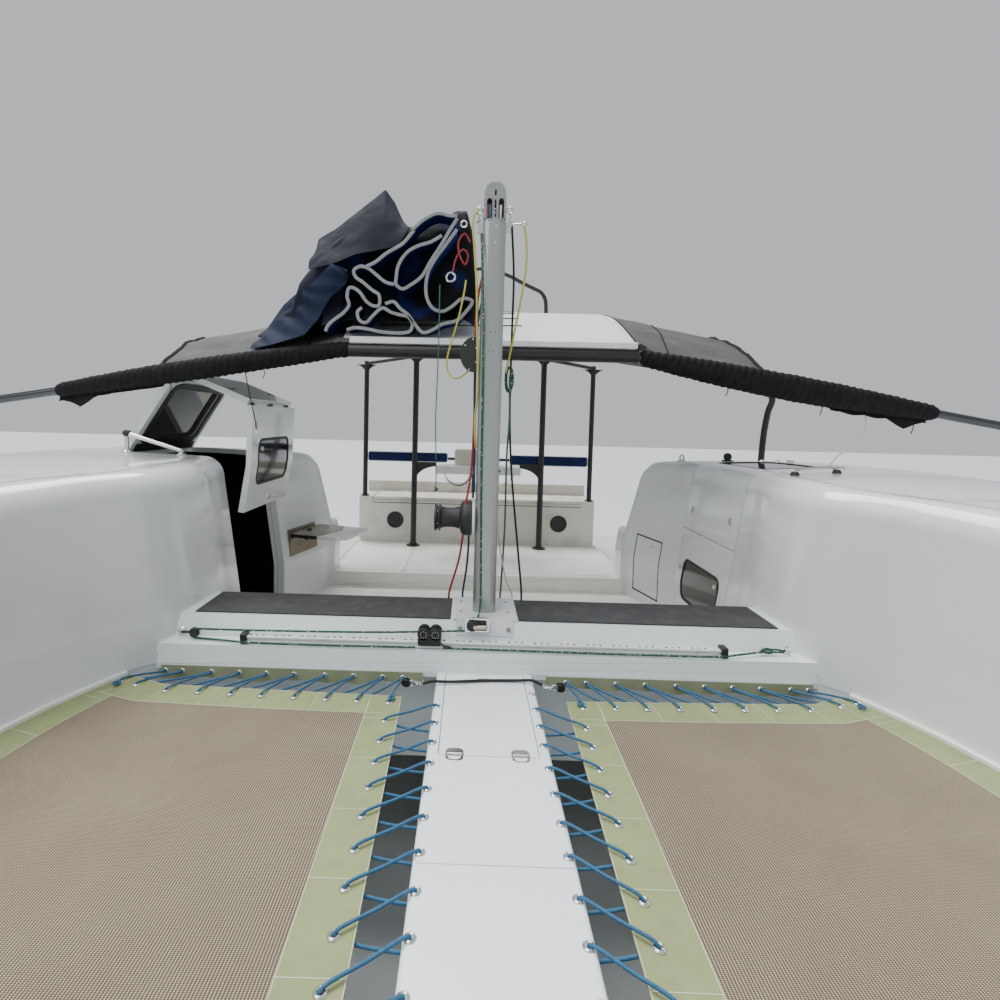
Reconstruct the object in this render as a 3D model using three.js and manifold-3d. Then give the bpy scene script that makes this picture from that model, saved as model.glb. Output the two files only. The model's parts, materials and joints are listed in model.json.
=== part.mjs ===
// Open-bridgedeck sailing catamaran, afloat. Millimetres, +X port, +Y aft, +Z up.
// The origin is on the centreline at the waterline, straight below the mast.
import * as THREE from 'three';
import { mergeVertices } from 'three/addons/utils/BufferGeometryUtils.js';
import Module from 'manifold-3d';

const wasm = await Module();
wasm.setup();

// Driving dimensions
const gap = 0.4;
const port = 1;
const starboard = -1;
const hullCentre = 1910;
const rimZ = 900;
const wingZ = 480;
const wallThickness = 30;
const cabinTopZ = 1638;
const wallLean = 90;
const stemY = -4200;
const transomY = 4700;
const deckEndY = 1900;
const cabinStartY = -1700;
const cabinEndY = 1650;

const doorStartY = 495;
const doorEndY = 1145;
const doorSillZ = 650;
const doorTopZ = 1205;
const panelGap = 6;
const hatchHingeX = 1833;
const hatchHingeZ = 1630;
const hatchOpen = 60;
const doorHang = 69.5;

const floorZ = 700;
const wellZ = 600;
const floorStepY = 1720;
const slabBottomZ = 500;
const bridgeEndY = 3480;
const beamTopZ = 1050;
const beamHalf = 130;
const ledgeZ = 972;
const ledgeY = -206;
const flangeY = -253;

const spineHalf = 175;
const spineBottomZ = 780;
const bowBeamY = -3050;
const bowBeamRadius = 55;
const bowBeamZ = 830;
const netInner = 285;
const netRearY = -430;
const netFrontY = -2950;

const mastWidth = 92;
const mastDepth = 120;
const mastTopZ = 2618;
const headTopZ = 2757;
const winchZ = 1432;

const hoopY = 390;
const hoopZ = 2152;
const hoopFlat = 700;
const hoopDrop = 0.166;
const hoopRadius = 25;
const sleeveRadius = 38;
const roofCrestY = 1570;
const roofEndY = 2560;
const roofThickness = 16;
const roofEdges = { port: { front: 1330, crest: 1450 }, starboard: { front: 1600, crest: 1850 } };

const innerPostX = 560;
const innerPostY = 2600;
const postTopZ = 2400;
const outerPostX = 1035;
const outerPostY = 2800;
const benchFrontY = 2760;
const benchRearY = 3250;
const benchHalf = 1079;
const benchTopZ = 1110;
const coamingZ = 1210;

// Hull stations: place along the boat, inner and outer face at the rim,
// half breadth at the water, and depth of the canoe body
const stations = [
  { y: stemY, inner: 1886, outer: 1934, water: 10, keel: -60 },
  { y: -3900, inner: 1800, outer: 2040, water: 62, keel: -250 },
  { y: -3200, inner: 1706, outer: 2220, water: 172, keel: -390 },
  { y: -2400, inner: 1620, outer: 2385, water: 270, keel: -440 },
  { y: -1500, inner: 1530, outer: 2530, water: 340, keel: -450 },
  { y: -700, inner: 1428, outer: 2625, water: 375, keel: -450 },
  { y: -345, inner: 1298, outer: 2655, water: 381, keel: -450 },
  { y: -250, inner: 1222, outer: 2662, water: 382, keel: -450 },
  { y: -100, inner: 1168, outer: 2672, water: 385, keel: -450 },
  { y: 130, inner: 1162, outer: 2682, water: 388, keel: -450 },
  { y: 495, inner: 1220, outer: 2692, water: 390, keel: -450 },
  { y: 1160, inner: 1220, outer: 2700, water: 390, keel: -445 },
  { y: 1640, inner: 1091, outer: 2698, water: 389, keel: -440 },
  { y: 1700, inner: 1082, outer: 2697, water: 388, keel: -438 },
  { y: 1740, inner: 1050, outer: 2697, water: 388, keel: -436 },
  { y: deckEndY, inner: 1050, outer: 2695, water: 387, keel: -425 },
  { y: 1960, inner: 1091, outer: 2693, water: 386, keel: -420 },
  { y: 3200, inner: 1091, outer: 2650, water: 378, keel: -330 },
  { y: 4000, inner: 1160, outer: 2590, water: 360, keel: -250 },
  { y: transomY, inner: 1420, outer: 2480, water: 335, keel: -170 },
];

// Deck stations: height of the side deck and share of the full cabin height
const deckStations = [
  { y: stemY + 30, deck: 1040, rise: 0 },
  { y: -3600, deck: 1030, rise: 0 },
  { y: -2700, deck: 1015, rise: 0.02 },
  { y: -2300, deck: 1008, rise: 0.16 },
  { y: -1900, deck: 1004, rise: 0.48 },
  { y: -1400, deck: 1000, rise: 0.8 },
  { y: -800, deck: 1000, rise: 0.93 },
  { y: -345, deck: 1000, rise: 0.97 },
  { y: -100, deck: 1000, rise: 0.985 },
  { y: 130, deck: 1000, rise: 0.995 },
  { y: 495, deck: 1000, rise: 1 },
  { y: 1160, deck: 1000, rise: 0.982 },
  { y: 1440, deck: 1003, rise: 0.955 },
  { y: 1640, deck: 1010, rise: 0.915 },
  { y: 1700, deck: 1030, rise: 0.84 },
  { y: 1740, deck: 1060, rise: 0.02 },
  { y: deckEndY, deck: 1060, rise: 0 },
];

const white = { color: 0xf2f3f1, roughness: 0.25, metalness: 0 };
const floorWhite = { color: 0xe8e6df, roughness: 0.55, metalness: 0 };
const grey = { color: 0x4c4e50, roughness: 0.9, metalness: 0 };
const black = { color: 0x17181a, roughness: 0.5, metalness: 0.1 };
const alloy = { color: 0xb9bdc0, roughness: 0.35, metalness: 0.9 };
const glass = { color: 0x2a2d30, roughness: 0.1, metalness: 0 };
const mesh = { color: 0x9a8672, roughness: 0.9, metalness: 0 };
const navy = { color: 0x1c2547, roughness: 0.8, metalness: 0 };
const blue = { color: 0x2c3f86, roughness: 0.8, metalness: 0 };
const yellow = { color: 0xc9c04a, roughness: 0.8, metalness: 0 };

const boat = new THREE.Group();

// Value of one column of a table at y, by a cubic that never overshoots
function columnAt(table, column, y) {
  const last = table.length - 1;
  const inside = Math.min(Math.max(y, table[0].y), table[last].y);
  let i = 0;
  while (i < last - 1 && inside > table[i + 1].y) i += 1;
  const slope = (k) => (table[k + 1][column] - table[k][column]) / (table[k + 1].y - table[k].y);
  const tangent = (k) => {
    if (k === 0) return slope(0);
    if (k === last) return slope(last - 1);
    const before = slope(k - 1);
    const after = slope(k);
    return before * after <= 0 ? 0 : (2 * before * after) / (before + after);
  };
  const span = table[i + 1].y - table[i].y;
  const t = (inside - table[i].y) / span;
  const h = [2 * t ** 3 - 3 * t ** 2 + 1, t ** 3 - 2 * t ** 2 + t, 3 * t ** 2 - 2 * t ** 3, t ** 3 - t ** 2];
  return h[0] * table[i][column] + h[1] * span * tangent(i) + h[2] * table[i + 1][column]
    + h[3] * span * tangent(i + 1);
}

const isSolid = (shape) => shape instanceof wasm.Manifold;

// A shape is a geometry, or the solid that a cut or join gives
function toSolid(shape) {
  if (isSolid(shape)) return shape;
  const bare = shape.clone();
  bare.deleteAttribute('normal');
  bare.deleteAttribute('uv');
  const merged = mergeVertices(bare, 1e-3);
  return new wasm.Manifold(new wasm.Mesh({
    numProp: 3,
    vertProperties: new Float32Array(merged.attributes.position.array),
    triVerts: new Uint32Array(merged.index.array),
  }));
}

function toGeometry(shape) {
  if (!isSolid(shape)) return shape;
  const result = shape.getMesh();
  const geometry = new THREE.BufferGeometry();
  geometry.setAttribute('position', new THREE.BufferAttribute(new Float32Array(result.vertProperties), 3));
  geometry.setIndex(new THREE.BufferAttribute(new Uint32Array(result.triVerts), 1));
  return geometry;
}

const join = (...shapes) => shapes.map(toSolid).reduce((sum, next) => sum.add(next));
const cut = (shape, ...tools) => tools.map(toSolid).reduce((rest, tool) => rest.subtract(tool), toSolid(shape));
const common = (shape, tool) => toSolid(shape).intersect(toSolid(tool));

function box(x, y, z) {
  const geometry = new THREE.BoxGeometry(x[1] - x[0], y[1] - y[0], z[1] - z[0]);
  return geometry.translate((x[0] + x[1]) / 2, (y[0] + y[1]) / 2, (z[0] + z[1]) / 2);
}

function extrude(points, depth) {
  const shape = new THREE.Shape(points.map(([u, v]) => new THREE.Vector2(u, v)));
  return new THREE.ExtrudeGeometry(shape, { depth, bevelEnabled: false });
}

// Prism with its outline in the YZ plane, running along X
function prismX(points, from, to) {
  const turn = new THREE.Matrix4().makeBasis(
    new THREE.Vector3(0, 1, 0), new THREE.Vector3(0, 0, 1), new THREE.Vector3(1, 0, 0));
  return extrude(points, to - from).applyMatrix4(turn).translate(from, 0, 0);
}

// Prism with its outline in the XZ plane, running along Y
function prismY(points, from, to) {
  const flipped = points.map(([x, z]) => [-x, z]);
  const turn = new THREE.Matrix4().makeBasis(
    new THREE.Vector3(-1, 0, 0), new THREE.Vector3(0, 0, 1), new THREE.Vector3(0, 1, 0));
  return extrude(flipped, to - from).applyMatrix4(turn).translate(0, from, 0);
}

// Prism with its outline in the XY plane, running up
function prismZ(points, from, to) {
  return extrude(points, to - from).translate(0, 0, from);
}

function vectors(points) {
  return points.map(([x, y, z]) => new THREE.Vector3(x, y, z));
}

function ring(radius, sides) {
  const shape = new THREE.Shape();
  for (let i = 0; i < sides; i += 1) {
    const angle = (2 * Math.PI * (i + 0.5)) / sides;
    const [u, v] = [radius * Math.cos(angle), radius * Math.sin(angle)];
    if (i === 0) shape.moveTo(u, v);
    else shape.lineTo(u, v);
  }
  shape.closePath();
  return shape;
}

// Round tube along a smooth path
function tube(points, radius, steps, sides = 12) {
  const path = new THREE.CatmullRomCurve3(vectors(points), false, 'centripetal');
  return new THREE.ExtrudeGeometry(ring(radius, sides), { steps, extrudePath: path, bevelEnabled: false });
}

// Round bar between two points
function bar(start, end, radius, sides = 10) {
  const [a, b] = vectors([start, end]);
  const along = b.clone().sub(a);
  const geometry = new THREE.CylinderGeometry(radius, radius, along.length(), sides);
  const turn = new THREE.Quaternion().setFromUnitVectors(new THREE.Vector3(0, 1, 0), along.clone().normalize());
  geometry.applyQuaternion(turn);
  return geometry.translate(...a.add(b).multiplyScalar(0.5).toArray());
}

// Middle of a ring's area in its XZ plane
function ringMiddle(points) {
  let [area, x, z] = [0, 0, 0];
  points.forEach(([x0, , z0], i) => {
    const [x1, , z1] = points[(i + 1) % points.length];
    const cross = x0 * z1 - x1 * z0;
    area += cross / 2;
    x += ((x0 + x1) * cross) / 6;
    z += ((z0 + z1) * cross) / 6;
  });
  return [x / area, points[0][1], z / area];
}

// Closed skin over rings of equal length, each a list of [x, y, z]. The ends are closed by a fan
// from the middle, or on a thin sheet by pairing its upper and under points.
function loft(rings, thin = false) {
  const count = rings[0].length;
  const positions = rings.flat(2);
  const index = [];
  for (let r = 0; r < rings.length - 1; r += 1) {
    for (let i = 0; i < count; i += 1) {
      const a = r * count + i;
      const b = r * count + ((i + 1) % count);
      index.push(a, b, b + count, a, b + count, a + count);
    }
  }
  for (const [ring, last] of [[0, false], [rings.length - 1, true]]) {
    const base = ring * count;
    const face = (a, b, c) => index.push(...(last ? [a, b, c] : [a, c, b]));
    if (thin) {
      for (let i = 0; i < count / 2 - 1; i += 1) {
        const [a, b, c, d] = [base + i, base + i + 1, base + count - 2 - i, base + count - 1 - i];
        face(a, b, c);
        face(a, c, d);
      }
    } else {
      const middle = positions.length / 3;
      positions.push(...ringMiddle(rings[ring]));
      for (let i = 0; i < count; i += 1) face(base + i, base + ((i + 1) % count), middle);
    }
  }
  const geometry = new THREE.BufferGeometry();
  geometry.setAttribute('position', new THREE.Float32BufferAttribute(positions, 3));
  geometry.setIndex(index);
  if (signedVolume(geometry) < 0) {
    const turned = [];
    for (let i = 0; i < index.length; i += 3) turned.push(index[i], index[i + 2], index[i + 1]);
    geometry.setIndex(turned);
  }
  return geometry;
}

function signedVolume(geometry) {
  const at = geometry.attributes.position;
  const index = geometry.index.array;
  const [a, b, c] = [new THREE.Vector3(), new THREE.Vector3(), new THREE.Vector3()];
  let sum = 0;
  for (let i = 0; i < index.length; i += 3) {
    a.fromBufferAttribute(at, index[i]);
    b.fromBufferAttribute(at, index[i + 1]);
    c.fromBufferAttribute(at, index[i + 2]);
    sum += a.dot(b.cross(c)) / 6;
  }
  return sum;
}

// Same shape on the other side of the boat
function mirrored(shape, side) {
  const geometry = toGeometry(toSolid(shape));
  if (side === port) return geometry;
  geometry.scale(-1, 1, 1);
  const index = geometry.index.array;
  for (let i = 0; i < index.length; i += 3) [index[i + 1], index[i + 2]] = [index[i + 2], index[i + 1]];
  return geometry;
}

function add(name, shape, look, parent = boat) {
  const geometry = toGeometry(shape);
  geometry.computeVertexNormals();
  const piece = new THREE.Mesh(geometry, new THREE.MeshStandardMaterial(look));
  piece.name = name;
  parent.add(piece);
  return piece;
}

const sideName = (side) => (side === port ? 'port' : 'starboard');

function placesAlong(table, from, to, step) {
  const inside = table.map((row) => row.y).filter((y) => y > from && y < to);
  const places = [from];
  for (const y of [...inside, to]) {
    const start = places[places.length - 1];
    const parts = Math.max(1, Math.round((y - start) / step));
    for (let k = 1; k <= parts; k += 1) places.push(start + ((y - start) * k) / parts);
  }
  return places;
}

// Hull section at y, port side, grown or shrunk by an offset
function hullRing(y, grow, topZ) {
  const inner = columnAt(stations, 'inner', y) - grow;
  const outer = columnAt(stations, 'outer', y) + grow;
  const water = columnAt(stations, 'water', y) + grow;
  const keel = columnAt(stations, 'keel', y) - grow;
  const innerWater = Math.max(hullCentre - water, inner + 4);
  const outerWater = Math.min(hullCentre + water, outer - 4);
  const half = (outerWater - innerWater) / 2;
  const middle = (outerWater + innerWater) / 2;
  const points = [
    [inner, topZ],
    [inner, wingZ - grow],
    [inner + 0.35 * (innerWater - inner), wingZ - 70 - grow],
    [innerWater - 0.2 * (innerWater - inner), wingZ - 170 - grow],
  ];
  const bilge = 10;
  for (let i = 0; i <= bilge; i += 1) {
    const angle = (Math.PI * i) / bilge;
    points.push([middle - half * Math.cos(angle), keel * Math.sin(angle) ** 0.8]);
  }
  points.push([outerWater + 0.45 * (outer - outerWater), 330]);
  points.push([outer - 0.12 * (outer - outerWater), 660]);
  points.push([outer, 800]);
  points.push([outer, topZ]);
  return points.map(([x, z]) => [x, y, z]);
}

function hullLoft(grow, from, to, topZ = rimZ) {
  return loft(placesAlong(stations, from, to, 520).map((y) => hullRing(y, grow, topZ)));
}

// Deck and cabin section at y, port side, from the rim up
function deckRing(y, grow, bottomZ) {
  const rise = columnAt(deckStations, 'rise', y);
  const deck = columnAt(deckStations, 'deck', y) + grow;
  const inner = columnAt(stations, 'inner', y) - grow;
  const outer = columnAt(stations, 'outer', y) + grow;
  const top = deck + rise * (cabinTopZ + grow - deck);
  const width = outer - inner;
  const shoulder = Math.min(30 + 70 * rise, width * 0.2);
  const wallTop = top - 30 - shoulder * 0.95;
  const wallTopX = inner + (wallLean * Math.max(0, wallTop - rimZ)) / 640;
  const roofEdge = top - 0.05 * shoulder - 14 * rise;
  const cabinOuter = inner + width * 0.87;
  const points = [[inner, bottomZ], [inner, rimZ]];
  for (let i = 0; i <= 4; i += 1) {
    const angle = (Math.PI * i) / 8;
    points.push([
      wallTopX + shoulder * (1 - Math.cos(angle)),
      wallTop + (roofEdge - wallTop) * Math.sin(angle),
    ]);
  }
  const roofStart = wallTopX + shoulder;
  const roofEnd = cabinOuter - shoulder * 2;
  for (const share of [0.3, 0.6, 0.85]) {
    const crown = 14 * rise * (1 - (2 * share - 1) ** 2);
    points.push([roofStart + share * (roofEnd - roofStart), roofEdge + crown]);
  }
  for (let i = 0; i <= 4; i += 1) {
    const angle = (Math.PI * i) / 8;
    points.push([
      roofEnd + (cabinOuter - roofEnd) * Math.sin(angle),
      deck + (roofEdge - deck) * (0.62 + 0.38 * Math.cos(angle)),
    ]);
  }
  points.push([cabinOuter + 0.04 * width, deck + 4]);
  points.push([outer - 0.02 * width, deck]);
  points.push([outer, deck - 20]);
  points.push([outer, bottomZ]);
  return points.map(([x, z]) => [x, y, z]);
}

function deckLoft(grow, from, to, bottomZ = rimZ + gap) {
  return loft(placesAlong(deckStations, from, to, 420).map((y) => deckRing(y, grow, bottomZ)));
}

// Space inside one hull and its cabin, port side
function cabinSpace(thickness) {
  const below = common(
    hullLoft(-thickness, cabinStartY, cabinEndY, rimZ + 20),
    box([1100, 2700], [cabinStartY, cabinEndY], [60, rimZ + 10]));
  const above = deckLoft(-thickness, cabinStartY, cabinEndY, rimZ - 10);
  return join(below, above);
}

const interior = cabinSpace(wallThickness);
const doorWay = box([1100, 1400], [doorStartY, doorEndY], [doorSillZ, doorTopZ + 40]);
const hatchWay = box([1100, hatchHingeX], [doorStartY, doorEndY], [doorTopZ, cabinTopZ + 100]);
const sideWindow = [[2350, 2700], [-700, 300], [1130, 1300]];
const windowWay = box(...sideWindow);
const lockerWall = { x: 1139.4, y: 1460, width: 300, lowZ: 669, highZ: 1065 };
const lockerTurn = Math.atan2(129, 480);

const leanAt = (z) => (wallLean * Math.max(0, z - rimZ)) / 640;

// Slab following the slanted wall, port side, between two depths outside its face
function lockerSlab(outside, inside, spare) {
  const [low, high] = [lockerWall.lowZ + spare, lockerWall.highZ - spare];
  const half = lockerWall.width / 2 - spare;
  const outline = [
    [-outside, low], [-outside, rimZ], [leanAt(high) - outside, high],
    [leanAt(high) - inside, high], [-inside, rimZ], [-inside, low],
  ];
  return prismY(outline, -half, half).rotateZ(lockerTurn).translate(lockerWall.x, lockerWall.y, 0);
}

function keelFin() {
  const outline = [[-500, -380], [1500, -380], [1250, -790], [-150, -790]];
  return prismX(outline, hullCentre - 60, hullCentre + 60);
}

// Low side deck behind the cabin and the steps at the stern
const aftSteps = [
  { from: deckEndY, to: 3650, z: 620 },
  { from: 3650, to: 4200, z: 400 },
  { from: 4200, to: transomY + 10, z: 240 },
];

// Hull, open above the accommodation
function makeHull(side) {
  let hull = join(hullLoft(0, stemY, transomY), keelFin());
  const steps = aftSteps.map(({ from, to, z }) => box([1000, 2800], [from, to + 1], [z, 1000]));
  hull = cut(hull, interior, doorWay, ...steps);
  if (side === port) hull = cut(hull, lockerSlab(90, -90, 12));
  add(`hull_${sideName(side)}`, mirrored(hull, side), white);
}

function makeDeck(side) {
  let deck = cut(deckLoft(0, stemY + 30, deckEndY), interior, doorWay, hatchWay, windowWay);
  if (side === port) deck = cut(deck, lockerSlab(90, -90, 12));
  add(`deck_${sideName(side)}`, mirrored(deck, side), white);
}

// Skin of the cabin between two depths under the outer face
function cabinSkin(outside, inside) {
  const shell = deckLoft(-outside, cabinStartY - 100, cabinEndY + 40, 700);
  return cut(shell, deckLoft(-inside, cabinStartY - 200, cabinEndY + 60, 690));
}

function shrink([x, y, z], by) {
  return box([x[0] + by, x[1] - by], [y[0] + by, y[1] - by], [z[0] + by, z[1] - by]);
}

// Long window in the outer side of the cabin
function makeSideWindow(side) {
  const pane = common(cabinSkin(4, 14), shrink(sideWindow, 1));
  add(`side_window_${sideName(side)}`, mirrored(pane, side), glass);
}

const hatchRoofWindow = [[1415, 1755], [560, 1085], [1500, 1800]];
const doorWindow = [[1150, 1400], [590, 1045], [800, 1030]];
const wallXAt = (z) => 1220 + leanAt(z);

// Roof and upper side of the gull-wing hatch, with its door leaf hanging from it
function makeHatch(side) {
  const name = sideName(side);
  const open = side === starboard;
  const sideSign = side === port ? 1 : -1;
  const hatchPivot = new THREE.Group();
  const hinge = new THREE.Vector3(sideSign * hatchHingeX, 0, hatchHingeZ);
  hatchPivot.position.copy(hinge);
  hatchPivot.rotation.y = open ? -THREE.MathUtils.degToRad(hatchOpen) : 0;
  boat.add(hatchPivot);

  const leafBox = box([1100, hatchHingeX - panelGap], [doorStartY + panelGap, doorEndY - panelGap],
    [doorTopZ + panelGap / 2, cabinTopZ + 100]);
  const skin = cabinSkin(0, wallThickness);
  const leaf = cut(common(skin, leafBox), box(...hatchRoofWindow));
  const pane = common(cabinSkin(3, 13), shrink(hatchRoofWindow, 1));
  const back = hinge.clone().negate();
  add(`hatch_${name}`, mirrored(leaf, side).translate(...back), white, hatchPivot);
  add(`hatch_glass_${name}`, mirrored(pane, side).translate(...back), glass, hatchPivot);

  const pin = new THREE.Vector3(sideSign * (wallXAt(doorTopZ) + wallThickness + 2), 0, doorTopZ);
  const doorPivot = new THREE.Group();
  doorPivot.position.copy(pin).sub(hinge);
  doorPivot.rotation.y = open ? THREE.MathUtils.degToRad(doorHang) : 0;
  hatchPivot.add(doorPivot);
  const low = doorSillZ + panelGap + 4;
  const high = doorTopZ - panelGap / 2;
  const outline = [
    [1220, low], [1220, rimZ], [wallXAt(high), high],
    [wallXAt(high) + wallThickness, high], [1220 + wallThickness, rimZ], [1220 + wallThickness, low],
  ];
  const door = cut(prismY(outline, doorStartY + panelGap, doorEndY - panelGap), box(...doorWindow));
  const inset = 8;
  const paneOutline = outline.map(([x, z], i) => [x + (i < 3 ? inset : -inset - 4), z]);
  const doorPane = common(prismY(paneOutline, doorStartY + 20, doorEndY - 20), shrink(doorWindow, 1));
  const doorBack = pin.clone().negate();
  add(`door_${name}`, mirrored(door, side).translate(...doorBack), white, doorPivot);
  add(`door_glass_${name}`, mirrored(doorPane, side).translate(...doorBack), glass, doorPivot);
}

// Locker door on the port cabin's slanted inner wall
function makeLockerDoor() {
  add('locker_door', lockerSlab(23, 5, 0), white);
}

const grownHull = (side) => mirrored(hullLoft(gap, stemY - 5, transomY + 5, rimZ + 30), side);
const grownDeck = (side) => mirrored(deckLoft(gap, stemY + 30, deckEndY, rimZ - 10), side);
const hullsAround = [grownHull(port), grownHull(starboard), grownDeck(port), grownDeck(starboard)];

// Floor between the hulls, with the lower well behind the mast beam and the beam under its aft edge
function makeBridgeDeck() {
  const slab = join(
    box([-1400, 1400], [beamHalf + gap, floorStepY + 1], [slabBottomZ, wellZ]),
    box([-1400, 1400], [floorStepY, bridgeEndY], [slabBottomZ, floorZ]),
    box([-1400, 1400], [bridgeEndY - 160, bridgeEndY + 20], [430, floorZ]));
  add('bridge_deck', cut(slab, ...hullsAround), floorWhite);
}

function makeMastBeam() {
  const outline = [
    [beamHalf, beamTopZ], [-beamHalf, beamTopZ], [-168, ledgeZ + 3], [-238, ledgeZ - 3],
    [flangeY, rimZ], [flangeY, rimZ - 20], [-150, 860], [-beamHalf, slabBottomZ], [beamHalf, slabBottomZ],
  ];
  add('mast_beam', cut(prismX(outline, -1500, 1500), ...hullsAround), white);
  for (const side of [port, starboard]) {
    const panel = box([133, 1142], [-122, 122], [beamTopZ + gap, beamTopZ + 4]);
    add(`nonskid_${sideName(side)}`, mirrored(panel, side), grey);
  }
}

const lid = { half: 145, frontY: -756, rearY: -259, thickness: 18 };

// Central spine with its locker, and the lid over it
function makeSpine() {
  const outline = [
    [-spineHalf, rimZ - 10], [-spineHalf + 10, rimZ], [spineHalf - 10, rimZ], [spineHalf, rimZ - 10],
    [spineHalf - 50, spineBottomZ], [-spineHalf + 50, spineBottomZ],
  ];
  const body = prismY(outline, bowBeamY + bowBeamRadius + gap, flangeY - gap);
  const rebate = box([-lid.half, lid.half], [lid.frontY, lid.rearY], [rimZ - lid.thickness - 1, rimZ + 5]);
  const locker = box([-110, 110], [lid.frontY + 30, lid.rearY - 30], [spineBottomZ + 15, rimZ]);
  add('spine', cut(body, rebate, locker), white);
  const lidHalf = lid.half - 5;
  const plate = box([-lidHalf, lidHalf], [lid.frontY + 5, lid.rearY - 5], [rimZ - lid.thickness, rimZ]);
  add('spine_lid', plate, white);
}

function makeBowBeam() {
  const beam = bar([-2100, bowBeamY, bowBeamZ], [2100, bowBeamY, bowBeamZ], bowBeamRadius, 24);
  add('bow_beam', cut(beam, ...hullsAround), alloy);
}

function makeTrampoline(side) {
  const outline = [[netInner, netRearY]];
  for (let y = netRearY; y >= netFrontY; y -= 280) outline.push([columnAt(stations, 'inner', y) - 12, y]);
  outline.push([columnAt(stations, 'inner', netFrontY) - 12, netFrontY], [netInner, netFrontY]);
  const sheet = prismZ(outline, rimZ - 12, rimZ - 5);
  add(`trampoline_${sideName(side)}`, mirrored(sheet, side), mesh);
}

function roundedRect(halfX, halfY, radius, corner = 3) {
  const points = [];
  for (const [sx, sy, start] of [[1, 1, 0], [-1, 1, 90], [-1, -1, 180], [1, -1, 270]]) {
    for (let i = 0; i <= corner; i += 1) {
      const angle = THREE.MathUtils.degToRad(start + (90 * i) / corner);
      points.push([
        sx * (halfX - radius) + radius * Math.cos(angle),
        sy * (halfY - radius) + radius * Math.sin(angle),
      ]);
    }
  }
  return points;
}

function makeMast() {
  const stepTop = beamTopZ + 8;
  const slope = [[-beamHalf - gap - 3, stepTop], [-160, 1003], [-154.6, 1003], [-beamHalf - gap, beamTopZ + gap]];
  const plate = join(
    box([-124, 124], [-beamHalf - gap - 2, 126], [beamTopZ + gap, stepTop]), prismX(slope, -110, 110));
  add('mast_step', plate, white);
  const section = prismZ(roundedRect(mastWidth / 2, mastDepth / 2, 18), stepTop + gap, mastTopZ);
  add('mast', section, alloy);
  const head = prismX([
    [-60, mastTopZ + gap], [60, mastTopZ + gap], [60, headTopZ - 40], [35, headTopZ], [-35, headTopZ],
    [-60, headTopZ - 30],
  ], -44, 44);
  const slots = [-20, 20].map((x) => box([x - 8, x + 8], [-70, 70], [headTopZ - 105, headTopZ - 25]));
  const pin = bar([-44, 0, headTopZ - 65], [44, 0, headTopZ - 65], 8);
  const sheaves = [-20, 20].map((x) => bar([x - 5, 0, headTopZ - 65], [x + 5, 0, headTopZ - 65], 34));
  add('mast_head', join(cut(head, ...slots), pin, ...sheaves), alloy);
}

// Halyard winch on the mast's starboard face, drum axis across the boat
function makeWinch() {
  const face = -mastWidth / 2;
  const base = join(
    box([face - 8, face - gap], [-55, 45], [winchZ - 72, winchZ + 72]),
    bar([face - 62, 0, winchZ], [face - 7, 0, winchZ], 72, 24));
  add('winch_base', base, black);
  const profile = [
    [0, 0], [56, 0], [56, 6], [40, 14], [37, 40], [40, 66], [52, 76], [52, 96], [18, 104], [0, 104],
  ].map(([r, h]) => new THREE.Vector2(r, h));
  const drum = new THREE.LatheGeometry(profile, 24);
  drum.rotateZ(Math.PI / 2).translate(face - 62 - 1, 0, winchZ);
  add('winch_drum', drum, black);
}

function makeTraveller() {
  const base = ledgeZ + 3.5;
  const outline = [
    [ledgeY - 16, base], [ledgeY + 16, base], [ledgeY + 16, base + 5], [ledgeY + 7, base + 8],
    [ledgeY + 7, base + 14], [ledgeY + 13, base + 17], [ledgeY + 13, base + 24], [ledgeY - 13, base + 24],
    [ledgeY - 13, base + 17], [ledgeY - 7, base + 14], [ledgeY - 7, base + 8], [ledgeY - 16, base + 5],
  ];
  const track = prismX(outline, -898, 881);
  add('traveller_track', cut(track, prismX([
    [beamHalf, 0], [-beamHalf, beamTopZ], [-168 - gap, ledgeZ + 3 + gap], [-238, ledgeZ - 3 + gap],
    [-260, rimZ], [-260, 0]], -1000, 1000)), black);
  const car = cut(
    box([-253, -163], [ledgeY - 27, ledgeY + 25], [base + 8, base + 46]),
    box([-300, -100], [ledgeY - 18, ledgeY + 18], [base, base + 29]));
  const blocks = [-20, 20].map((x) => bar([x - 208, ledgeY - 26, base + 60], [x - 208, ledgeY + 24, base + 60], 19));
  add('traveller_car', join(car, ...blocks), black);
}

function hoopHeight(x) {
  const beyond = Math.max(0, Math.abs(x) - hoopFlat);
  return hoopZ - hoopDrop * beyond;
}

const hoopPath = [
  [-2630, hoopY, 1001], [-2630, hoopY, 1480], [-2618, hoopY, 1720], [-2545, hoopY, 1828],
  [-2420, hoopY, hoopHeight(2420)], [-1500, hoopY, hoopHeight(1500)], [-hoopFlat, hoopY, hoopZ - 4],
  [-300, hoopY, hoopZ], [300, hoopY, hoopZ], [hoopFlat, hoopY, hoopZ - 4],
  [1500, hoopY, hoopHeight(1500)], [2420, hoopY, hoopHeight(2420)], [2545, hoopY, 1828],
  [2618, hoopY, 1720], [2630, hoopY, 1480], [2630, hoopY, 1001],
];

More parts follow.
